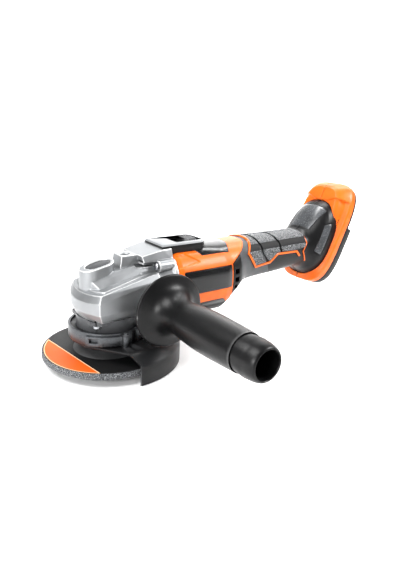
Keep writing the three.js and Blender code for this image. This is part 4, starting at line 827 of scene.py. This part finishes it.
def gear_head():
    def level(inset, height):
        return [(x, y, height(x)) for x, y in nose_outline(inset)]

    head = hull("gear_head", [
        *level(3.4, lambda x: 40), *level(0, lambda x: 48),
        *level(0, lambda x: 57.4 + head_tilt(x)), *level(3.4, lambda x: 63.6 + head_tilt(x)),
    ])
    plateau = hull("plateau", [
        *level(8, lambda x: 60), *level(8, lambda x: 64.2 + head_tilt(x)),
        *level(8.6, lambda x: 64.8 + head_tilt(x)),
    ])
    middle, boss, roof = [], [], []
    for side in (-1, 1):
        middle += [
            (-15, 19.5 * side, 60), (40, 19.5 * side, 60), (-15, 19.5 * side, 66.4), (40, 19.5 * side, 77),
            (-9.2, 14.2 * side, 74.6), (40, 14.2 * side, 86.5), (-22, 8 * side, 76), (-22, 9 * side, 66),
        ]
        boss += [(8, 9.5 * side, 72), (34, 11 * side, 72), (11, 8.5 * side, 93), (30, 8.5 * side, 93)]
        edge = 20 * side
        roof += [(31, edge, 76), (60, edge * 1.05, 76), (29, edge, 86), (60, edge * 1.05, 87),
                 (27, edge * 0.9, 93), (48, edge, 97), (60, edge * 0.9, 97)]
    pad = pill(33, 11.5, -10.5)
    lock_pad = hull("lock_pad", [(x, y, z) for x, y in pad for z in (60, pad_top(x))])
    shroud = loft("shroud", [
        section(26, 60, 29, 20, 19.5), section(44, 59, 31, 22.5, 25), section(55, 58, 33, 28, 33.5),
        section(57, 58, 34, 34.5, 34), section(60, 58, 34, 34.5, 34),
    ])
    posts = [rod("post", (HEAD_SCREW_X, y, z), (HEAD_REAR, y, z), 5.6) for y, z in HEAD_SCREWS]
    sockets = [
        rod("handle_boss", (HANDLE_X, 20 * side, HANDLE_Z), (HANDLE_X, 37 * side, HANDLE_Z), 10.5)
        for side in (-1, 1)
    ]
    tops = [hull("middle", middle), lock_pad, hull("boss", boss), hull("roof", roof)]
    add(head, plateau, *tops, shroud, *posts, *sockets)

    cuts = [
        rod("gear_room", (0, 0, 39), (0, 0, 60.5), 26.4, sides=96),
        rod("flange_room", (0, 0, 17), (0, 0, 40), 30.1, sides=96),
        rod("pinion_room", (-3, 0, MOTOR_Z), (35, 0, MOTOR_Z), 11.5),
        rod("bearing_seat", (34, 0, MOTOR_Z), (61, 0, MOTOR_Z), 13.3),
        rod("fan_room", (45, 0, MOTOR_Z), (61, 0, MOTOR_Z), 29.4, sides=96),
        rod("bush_seat", (0, 0, 50), (0, 0, 72), 7.9),
        rod("pin_way", (-13.5, 0, 50), (-13.5, 0, 77), 2.1, sides=24),
        rod("spring_way", (-13.5, 0, 66), (-13.5, 0, 77), 3.5, sides=24),
        rod("top_socket", (18.5, 0, 80), (18.5, 0, 120), 4.3, sides=40),
        rod("top_chamfer", (18.5, 0, 91.9), (18.5, 0, 93.5), 4.3, 6.0, sides=40),
        prism("button_well", pill(24, 8.25, -9), 76, FAR),
    ]
    for side in (-1, 1):
        y0, y1 = (9, 17.5) if side > 0 else (-17.5, -9)
        cuts += [block("vent", 23, 40, y0, y1, z, z + 2.2) for z in (82, 86)]
        start, end = (HANDLE_X, 24 * side, HANDLE_Z), (HANDLE_X, 38 * side, HANDLE_Z)
        cuts.append(rod("socket", start, end, 4.3, sides=40))
    for y, z in HEAD_SCREWS:
        cuts.append(rod("screw_hole", (20, y, z), (61, y, z), 2.3, sides=24))
        cuts.append(rod("screw_recess", (14, y, z), (HEAD_SCREW_X, y, z), 6.4, 4.6, sides=40))
    for x, y in FLANGE_SCREWS:
        cuts.append(rod("flange_hole", (x, y, 28), (x, y, 51), 2.2, sides=24))
    carve(head, *cuts)
    soften(head, 0.55, 3, 0.4)
    settle(head, "housing", aluminium, "cast_head", "gear_housing")


def bearing_flange():
    flange = turned("bearing_flange_plate", [
        (13.5, 17), (29, 17), (29.6, 17.6), (29.6, 39.7), (17.8, 39.7), (17.8, 23.2), (13.5, 23.2),
    ], 128)
    plate = prism("plate", [
        (-27.5, -19.5), (-19.5, -27.5), (19.5, -27.5), (27.5, -19.5),
        (27.5, 19.5), (19.5, 27.5), (-19.5, 27.5), (-27.5, 19.5),
    ], 36.3, 39.7)
    carve(plate, rod("bore", (0, 0, 30), (0, 0, 50), 17.8, sides=96))
    add(flange, plate)
    for x, y in FLANGE_SCREWS:
        hole = rod("hole", (x, y, 28), (x, y, 51), 2.2, sides=24)
        carve(flange, hole, rod("seat", (x, y, 33.6), (x, y, 36.3), 3.7, sides=32))
    settle(edged(flange, 0.3), "housing", enamel, "black_steel", "bearing_flange")


def spindle_lock():
    outline = pill(23, 7.75, -9)
    button = hull("spindle_lock_button", [(x, y, z) for x, y in outline for z in (79.5, pad_top(x) - 0.9)]
                  + [(x * 0.9 - 0.9, y * 0.9, pad_top(x) - 0.5) for x, y in outline])
    settle(smooth(button, 50), "lock_button", button_nylon, "grey_plastic", "lock_button")


def fasteners():
    quarter = math.pi / 2
    places = [(HEAD_SCREW_X, y, z) for y, z in HEAD_SCREWS]
    heads = repeated("head_screws", places, screw_head(3.8, 3, True), steel, (0, -quarter, 0))
    shank = turned("shank", [(0.01, 0), (2, 0), (2, 36), (0.01, 36)], 24)
    shanks = repeated("head_screw_shanks", places, shank, steel, (0, quarter, 0))
    settle(heads, "housing", steel, "steel", *[f"head_screw_{i}" for i in (1, 2, 3, 4)])
    settle(shanks, "housing", steel, "steel")
    places = [(x, y, 36.3) for x, y in FLANGE_SCREWS]
    low = repeated("flange_screws", places, screw_head(3.4, 2.4, False), steel, (math.pi, 0, 0))
    settle(low, "housing", steel, "steel", *[f"flange_screw_{i}" for i in (1, 2, 3, 4)])


# ---------------------------------------------------------------- motor barrel
def label_window(shrink):
    return side_prism("label_window", [
        (74 + shrink, 52 + shrink), (125 - shrink, 52 + shrink), (125 - shrink, 75 - shrink),
        (66 + shrink, 75 - shrink), (66 + shrink, 68 + shrink),
    ])


def cover_window(shrink):
    front, rear = 84, 133
    return prism("cover_window", [
        (front + shrink, -9), (front + 8, -24 + shrink), (rear - 7, -24 + shrink), (rear - shrink, -9),
        (rear - shrink, 9), (rear - 7, 24 - shrink), (front + 8, 24 - shrink), (front + shrink, 9),
    ], 77.5, FAR)


def belly_window(shrink):
    return side_prism("belly_window", [
        (70 + shrink, -FAR), (123 - shrink, -FAR), (123 - shrink, 34 - shrink), (115 - shrink, 41 - shrink),
        (70 + shrink, 41 - shrink),
    ])


def tongue_slot():
    return block("tongue_slot", 78, 97, -3.5, 3.5, 86.5, FAR)


def motor_housing():
    housing = barrel("motor_housing_shell")
    tail = loft("tail", [section(x, MOTOR_Z, 28.5, 33, 17) for x in (BARREL_END + 26, BARREL_END + 30)])
    mouth = loft("mouth", [section(x, MOTOR_Z, 30.5, 31.5, 30) for x in (59, 68)])
    carve(housing, barrel("inside", -2.6), mouth, tail, behind_barrel(0))
    for y, z in HEAD_SCREWS:
        post = within(rod("post", (60.3, y, z), (86, y, z), 4.6, sides=32), barrel("limit", -0.6))
        add(housing, post)
    for window in (label_window(0), cover_window(0), belly_window(0)):
        skin = carve(barrel("skin", 2), barrel("floor", -1.9))
        carve(housing, within(skin, window))
    # a shallow facet pressed into each upper flank, running out to a point
    flank = side_prism("flank", [(58, 88.5), (74, 90.2), (87.5, 82.6), (66, 79.4), (58, 79)])
    skin = carve(barrel("skin", 2), barrel("floor", -0.9), block("crown", -FAR, FAR, -19, 19, -FAR, FAR))
    carve(housing, within(skin, flank))
    motor_way = rod("motor_way", (HEAD_REAR, 0, MOTOR_Z), (106, 0, MOTOR_Z), 28.8, sides=96)
    carve(housing, motor_way, tongue_slot())
    for y, z in HEAD_SCREWS:
        carve(housing, rod("screw_way", (0, y, z), (80, y, z), 2.3, sides=24))
    soften(housing, 0.55, 2, 0.4)
    settle(housing, "housing", orange_nylon, "orange_shell", "motor_housing")


def barrel_panel(name, window, lift):
    panel = carve(barrel(name, lift), barrel("floor", -1.6), tongue_slot())
    return within(panel, window)


def barrel_panels():
    for side, hand in ((-1, "left"), (1, "right")):
        plate = edged(half_of(barrel_panel(f"label_panel_{hand}", label_window(GAP), 0.2), side), 0.3)
        settle(plate, "housing", gloss_panel, "gloss_panel", f"label_plate_{hand}")
    top = edged(barrel_panel("top_panel", cover_window(GAP), 0.3), 0.35)
    settle(top, "housing", gloss_panel, "gloss_panel", "top_cover")
    belly = edged(barrel_panel("belly_panel", belly_window(GAP), 0.3), 0.35)
    settle(belly, "housing", black_nylon, "black_plastic", "belly_cover")


# ---------------------------------------------------------------- switch
def frame_outline(inset):
    return [
        (50 + inset, -17 + inset), (97, -18 + inset), (103 - inset, -12 + inset * 0.4),
        (103 - inset, 12 - inset * 0.4), (97, 18 - inset), (50 + inset, 17 - inset),
    ]


def switch_pieces():
    def recess():
        return block("recess", 70, 98, -11, 11, 95.5, FAR)

    base = prism("switch_base", frame_outline(0), 89.5, 98.9)
    carve(base, block("head", 0, 60.3, -FAR, FAR, 0, 97.3), barrel("under", GAP), recess(), tongue_slot())
    settle(edged(base, 0.4), "housing", black_nylon, "black_plastic", "switch_frame")
    foot, top = frame_outline(0.1), frame_outline(1.2)
    rim = hull("switch_rim", [(x, y, 98.9) for x, y in foot] + [(x, y, 100.5) for x, y in top])
    carve(rim, block("window", 69.4, 98.6, -11.6, 11.6, 90, FAR))
    settle(edged(rim, 0.3), "housing", silver_nylon, "grey_plastic")
    lip = hull("recess_lip", [(x, y, z) for x in (69.5, 98.5) for y in (-11.5, 11.5) for z in (98.95, 100.1)])
    carve(lip, block("window", 70.2, 97.8, -10.8, 10.8, 90, FAR))
    settle(edged(lip, 0.2), "housing", black_nylon, "black_plastic")
    turns = [t * math.pi / 16 for t in range(32)]
    dot = hull("on_mark", [
        (72.6 + 1.5 * math.cos(t), -3 + 1.5 * math.sin(t), z) for t in turns for z in (95.5, 96)
    ])
    settle(edged(dot, 0.15), "housing", orange_nylon, "orange_shell")

    slider = block("slide_switch_button", 84, 96.5, -10.5, 10.5, 96, 99)
    middle = 90.25
    add(slider, block("tongue", middle - 3, middle + 3, -3, 3, 89.8, 96.5))
    tooth = hull("tooth", [(0, -8.5, 0), (2.2, -8.5, 0), (1.6, -8.0, 2.3), (1.0, -8.0, 2.3),
                           (0, 8.5, 0), (2.2, 8.5, 0), (1.6, 8.0, 2.3), (1.0, 8.0, 2.3)])
    points = [(85.2 + 2.8 * i, 0, 98.95) for i in range(4)]
    settle(edged(slider, 0.4), "switch", button_nylon, "grey_plastic", "slide_switch")
    ribs = repeated("slide_switch_ribs", points, tooth, button_nylon)
    settle(ribs, "switch", button_nylon, "grey_plastic")


# ---------------------------------------------------------------- vent and handle
def vent_grille():
    grille = carve(grip("rear_vent", 0.3), grip("inside", -3.4, 4))
    within(grille, vent_zone(0.25))
    for side in (-1, 1):
        y0, y1 = (15, FAR) if side > 0 else (-FAR, -15)
        carve(grille, *[block("slot", 129.4, 135.6, y0, y1, z, z + 5.4) for z in (47, 55.5, 64)])
    settle(edged(grille, 0.3), "housing", black_nylon, "black_plastic", "vent_grille")


# outlines on the handle, seen from the side
PAD_OUTLINE = [(165, 99), (154, 82), (164, 67), (185, 69), (196, 77), (227, 76), (241, 78), (244, 99)]
ACCENT_OUTLINE = [
    (151.6, 81), (162.9, 64.4), (185.5, 66.4), (196.5, 74.4), (226.4, 73.4), (231, 68), (232.8, 69),
    (227.3, 75.4), (195.9, 76.4), (184.8, 68.4), (164, 66.5), (153.4, 82), (163.5, 97), (161.7, 97),
]
GROOVES = [
    [(168, 99), (170.8, 99), (173, 90), (174.8, 80.4), (177.6, 75.2), (184.6, 68.6), (182.2, 65.6),
     (174.8, 72.8), (171.8, 79.4), (170.2, 89.4)],
    [(195.2, 99), (198, 99), (200.8, 90), (201.9, 84), (204.4, 75), (201.6, 75), (198.9, 83.6),
     (197.9, 89.4)],
]
REAR_ACCENT = [
    (233.4, 97), (241.6, 90.5), (242.8, 82), (237.2, 73), (242.4, 60.6), (243.4, 60.9),
    (238.4, 73), (244, 81.8), (242.6, 91.2), (235, 97),
]


def handle_halves():
    shell = carve(grip("shell"), grip("inside", -2.6, 2))
    ahead = carve(block("ahead", -FAR, FAR, -FAR, FAR, -FAR, FAR), behind_barrel(GAP))
    carve(shell, ahead, vent_zone(-0.15), block("rod_way", 122, 147, -3.5, 3.5, 86.5, 90.5))
    for polygon in facet_windows(0.35):
        skin = carve(grip("skin", 2), grip("floor", -1.3))
        carve(shell, within(skin, polygon))
    for x, z in HANDLE_SCREWS:
        boss = within(rod("boss", (x, -21, z), (x, 21, z), 4.2, sides=32), grip("limit", -0.5))
        add(shell, boss)
        screw_way = rod("screw_way", (x, -14, z), (x, FAR, z), 2.1, sides=24)
        carve(shell, screw_way, rod("head_way", (x, 18, z), (x, FAR, z), 3.7, sides=32))
    for side, hand in ((-1, "left"), (1, "right")):
        half = half_of(copy_of(shell, f"handle_shell_{hand}"), side)
        soften(half, 0.6, 2, 0.45)
        settle(half, "housing", handle_two_tone, "grey_plastic", f"handle_{hand}")
        pad = half_of(soft_skin(f"grip_pad_piece_{hand}", PAD_OUTLINE, 1.4, GROOVES), side)
        soften(pad, 0.42, 2, 0.4)
        settle(pad, "housing", rubber, "soft_grip", f"grip_pad_{hand}")
        accent = half_of(soft_skin(f"accent_piece_{hand}", ACCENT_OUTLINE, 1.6, []), side)
        settle(edged(accent, 0.25), "housing", orange_nylon, "orange_shell", f"accent_strip_{hand}")
        rear = half_of(soft_skin(f"rear_accent_{hand}", REAR_ACCENT, 1.0, []), side)
        settle(edged(rear, 0.15), "housing", orange_nylon, "orange_shell")
    for name, window in zip(("crown", "left_flank", "right_flank"), facet_windows(0.0)):
        skin = within(carve(grip(f"flare_facet_{name}", 0.25), grip("floor", -1.0)), window)
        settle(edged(skin, 0.3), "housing", facet_panel, "grey_plastic")
    bpy.data.objects.remove(shell)
    places = [(x, 20.4, z) for x, z in HANDLE_SCREWS]
    screws = repeated("handle_screws", places, screw_head(3.4, 2.4, False), steel, (-math.pi / 2, 0, 0))
    settle(screws, "housing", steel, "steel", "handle_screw_1", "handle_screw_2")


def soft_skin(name, outline, lift, grooves):
    skin = carve(grip(name, lift), grip("floor", 0.3))
    within(skin, side_prism("window", outline))
    for groove in grooves:
        carve(skin, side_prism("groove", groove))
    return skin


def facet_windows(g):
    """The facets let into the flare, each grown by g: one on the crown and one on each flank."""
    crown = prism("crown_window", [
        (253 - g, -14 - g), (253 - g, 14 + g), (275 + g, 19 + g), (275 + g, -19 - g),
    ], 92, FAR)
    flanks = []
    for side in (-1, 1):
        low, high = (-FAR, -8) if side < 0 else (8, FAR)
        flanks.append(side_prism("flank_window", [
            (253 - g, 72), (259.5 + g, 67.5 - g), (276.5 + g, 102 + g), (267.5 - g, 101 + g),
        ], low, high))
    return [crown, *flanks]


# ---------------------------------------------------------------- battery foot
def foot_pieces():
    outer = foot_outside("foot_shell")
    # above the chevron and round the lip the shell stands proud of the rest
    step = foot_outside("foot_step", 2, 3)
    carve(step, foot_outside("foot_core", -1.3, 6, 1.6))
    chevron = [(-FAR, -FAR), (-FAR, 40), (-22, 40), (-9, 35), (9, 35), (22, 40), (FAR, 40), (FAR, -FAR)]
    below = placed(prism("below", chevron, -FAR, -8.5, "X"), foot_place())
    carve(outer, within(step, below))
    carve(outer, foot_outside("foot_inside", -2.6, 2), grip("grip_way", GAP, 6))
    for side, hand in ((-1, "left"), (1, "right")):
        half = half_of(copy_of(outer, f"foot_half_{hand}"), side)
        soften(half, 0.55, 2, 0.4)
        settle(half, "housing", orange_nylon, "orange_shell", f"foot_shell_{hand}")
    bpy.data.objects.remove(outer)

    # across X out of the face: how much the width and the reach are drawn in
    draft = [(0.3, 0, 0), (3.4, 0, 0), (9.6, 0.3, 0.6), (11.2, 1, 1.6), (12, 2.6, 3.4)]
    base = foot_loft("battery_foot_base", [
        (x, 35.4 - narrow, 61.4 - short, 61.4 - short) for x, narrow, short in draft
    ])
    carve(
        base, foot_block("step", 3.4, 40, -FAR, FAR, 13, FAR),
        foot_block("pocket", 6, FAR, -15, 15, -30, FAR),
        foot_block("rail_slot", 4.8, 9.8, -25, 25, -48, FAR),
        foot_block("cable_way", -5, 12, -8, 8, -20, -8),
    )
    settle(edged(base, 0.6, 3), "housing", black_nylon, "black_plastic", "battery_base")


# ---------------------------------------------------------------- side handle
def side_handle():
    outline = [
        (4.3, 37.3), (10.4, 37.3), (11, 38), (11, 50), (11.6, 52.2), (31.2, 53.2), (33.6, 53.8),
        (34.4, 55.2), (34.2, 56.6), (33, 57.4), (26, 59.2), (21.2, 62.4), (17.6, 68), (16, 75),
        (16.1, 82), (17.2, 90), (18.1, 103), (18.4, 116), (18.1, 134), (17.3, 152), (16.6, 166),
    ]
    end = [
        (16.5, 171.6), (16.2, 172.4), (16.15, 176), (15.8, 179), (15.3, 181.6), (14.5, 184.2),
        (13.7, 185.4), (13.0, 185.9), (12.5, 185.9), (12.1, 185.5), (12.0, 184.8), (12.0, 96),
        (11, 94), (4.3, 92),
    ]
    grip_line = [p for p in eased(outline) if not (p[0] < 10 and p[1] > 60)]
    piece = turned("side_grip", [*grip_line[:-2], *end], 128)
    place = Matrix.Translation(Vector((HANDLE_X, 0, HANDLE_Z)) * MM) @ Matrix.Rotation(math.pi / 2, 4, "X")
    placed(piece, place)
    smooth(piece, 40)
    settle(piece, "housing", handle_nylon, "black_plastic", "side_handle")


def carried_over():
    """CAD nodes whose shape is already right get the finish of the real piece."""
    finishes = {
        aluminium: ["rotor_core"],
        steel: [
            "bevel_gear", "lower_bearing_inner", "lower_bearing_outer", "rotor_shaft", "pinion",
            "front_bearing", "rear_bearing", "lock_pin", "lock_spring", "stator_core", "handle_stud",
            "lever_pin",
        ],
        copper: ["front_coils", "rear_coils", "spindle_bush"],
        black_nylon: ["fan", "fan_baffle", "switch_rod", "micro_switch", "terminal_block"],
        circuit: ["control_module"],
    }
    for finish, names in finishes.items():
        for name in names:
            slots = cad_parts[name].material_slots
            if slots:
                slots[0].material = finish
            else:
                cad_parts[name].data.materials.append(finish)


# ---------------------------------------------------------------- floor, lights and camera
def studio():
    # the floor curves up into a backdrop, and both are pale
    bend = [t * math.pi / 16 for t in range(9)]
    curve = [(900 + 600 * math.sin(t), 590.8 - 600 * math.cos(t)) for t in bend]
    steps = [(-3000, -9.2), *curve, (1500, 3000)]
    points = [(x, y, z) for y, z in steps for x in (-4000, 4000)]
    faces = [(2 * i, 2 * i + 1, 2 * i + 3, 2 * i + 2) for i in range(len(steps) - 1)]
    floor = shape("floor", points, faces)
    floor.data.transform(Matrix.Rotation(math.radians(CAMERA_YAW), 4, "Z"))

    def pale(tree, where):
        patch = add_node(tree, NOISE, {"Vector": where, "Scale": per(400)})
        return {"Roughness": add_node(tree, RAMP, {0: patch}, stops=[(0, 0.85), (1, 0.95)])}

    floor.data.materials.append(surface("pale_floor", {"Base Color": linear("#fafafa")}, pale))
    world = bpy.data.worlds.new("studio")
    world.use_nodes = True
    world.node_tree.nodes["Background"].inputs["Color"].default_value = linear("#ffffff")
    world.node_tree.nodes["Background"].inputs["Strength"].default_value = 0.33
    scene = bpy.context.scene
    scene.world = world
    scene.view_settings.view_transform = "Standard"
    for name, place, aim, size, power in (
        ("key", (-420, 40, 800), (60, 0, 40), 520, 9),
        ("back", (560, -420, 520), (80, -80, 60), 240, 6),
        ("front_left", (-620, -300, 260), (0, 0, 40), 240, 4),
        ("backdrop", (600, 300, 900), (900, 1100, 200), 900, 40),
    ):
        light = bpy.data.lights.new(name, "AREA")
        light.energy = power
        light.size = size * MM
        lamp = bpy.data.objects.new(name, light)
        scene.collection.objects.link(lamp)
        lamp.location = Vector(place) * MM
        lamp.rotation_euler = (Vector(aim) - Vector(place)).to_track_quat("-Z", "Y").to_euler()


def camera():
    yaw, pitch, roll = math.radians(CAMERA_YAW), math.radians(18.09), math.radians(2.07)
    back = Vector((math.sin(yaw) * math.cos(pitch), -math.cos(yaw) * math.cos(pitch), math.sin(pitch)))
    right = Vector((math.cos(yaw), math.sin(yaw), 0))
    up = back.cross(right)
    turned_right = math.cos(roll) * right + math.sin(roll) * up
    turned_up = -math.sin(roll) * right + math.cos(roll) * up
    lens = bpy.data.cameras.new("camera")
    lens.lens = 34.347
    lens.sensor_width = 36
    lens.clip_start = 0.01
    eye = bpy.data.objects.new("camera", lens)
    bpy.context.scene.collection.objects.link(eye)
    turn = Matrix((turned_right, turned_up, back)).transposed()
    eye.matrix_world = Matrix.Translation(Vector((-220.4, -438.99, 226.11)) * MM) @ turn.to_4x4()
    bpy.context.scene.camera = eye


# ---------------------------------------------------------------- assembly
camera()
studio()
grinding_wheel()
spindle_pieces()
guard_cover()
guard_clamp()
gear_head()
bearing_flange()
spindle_lock()
fasteners()
motor_housing()
barrel_panels()
switch_pieces()
vent_grille()
handle_halves()
foot_pieces()
side_handle()
carried_over()
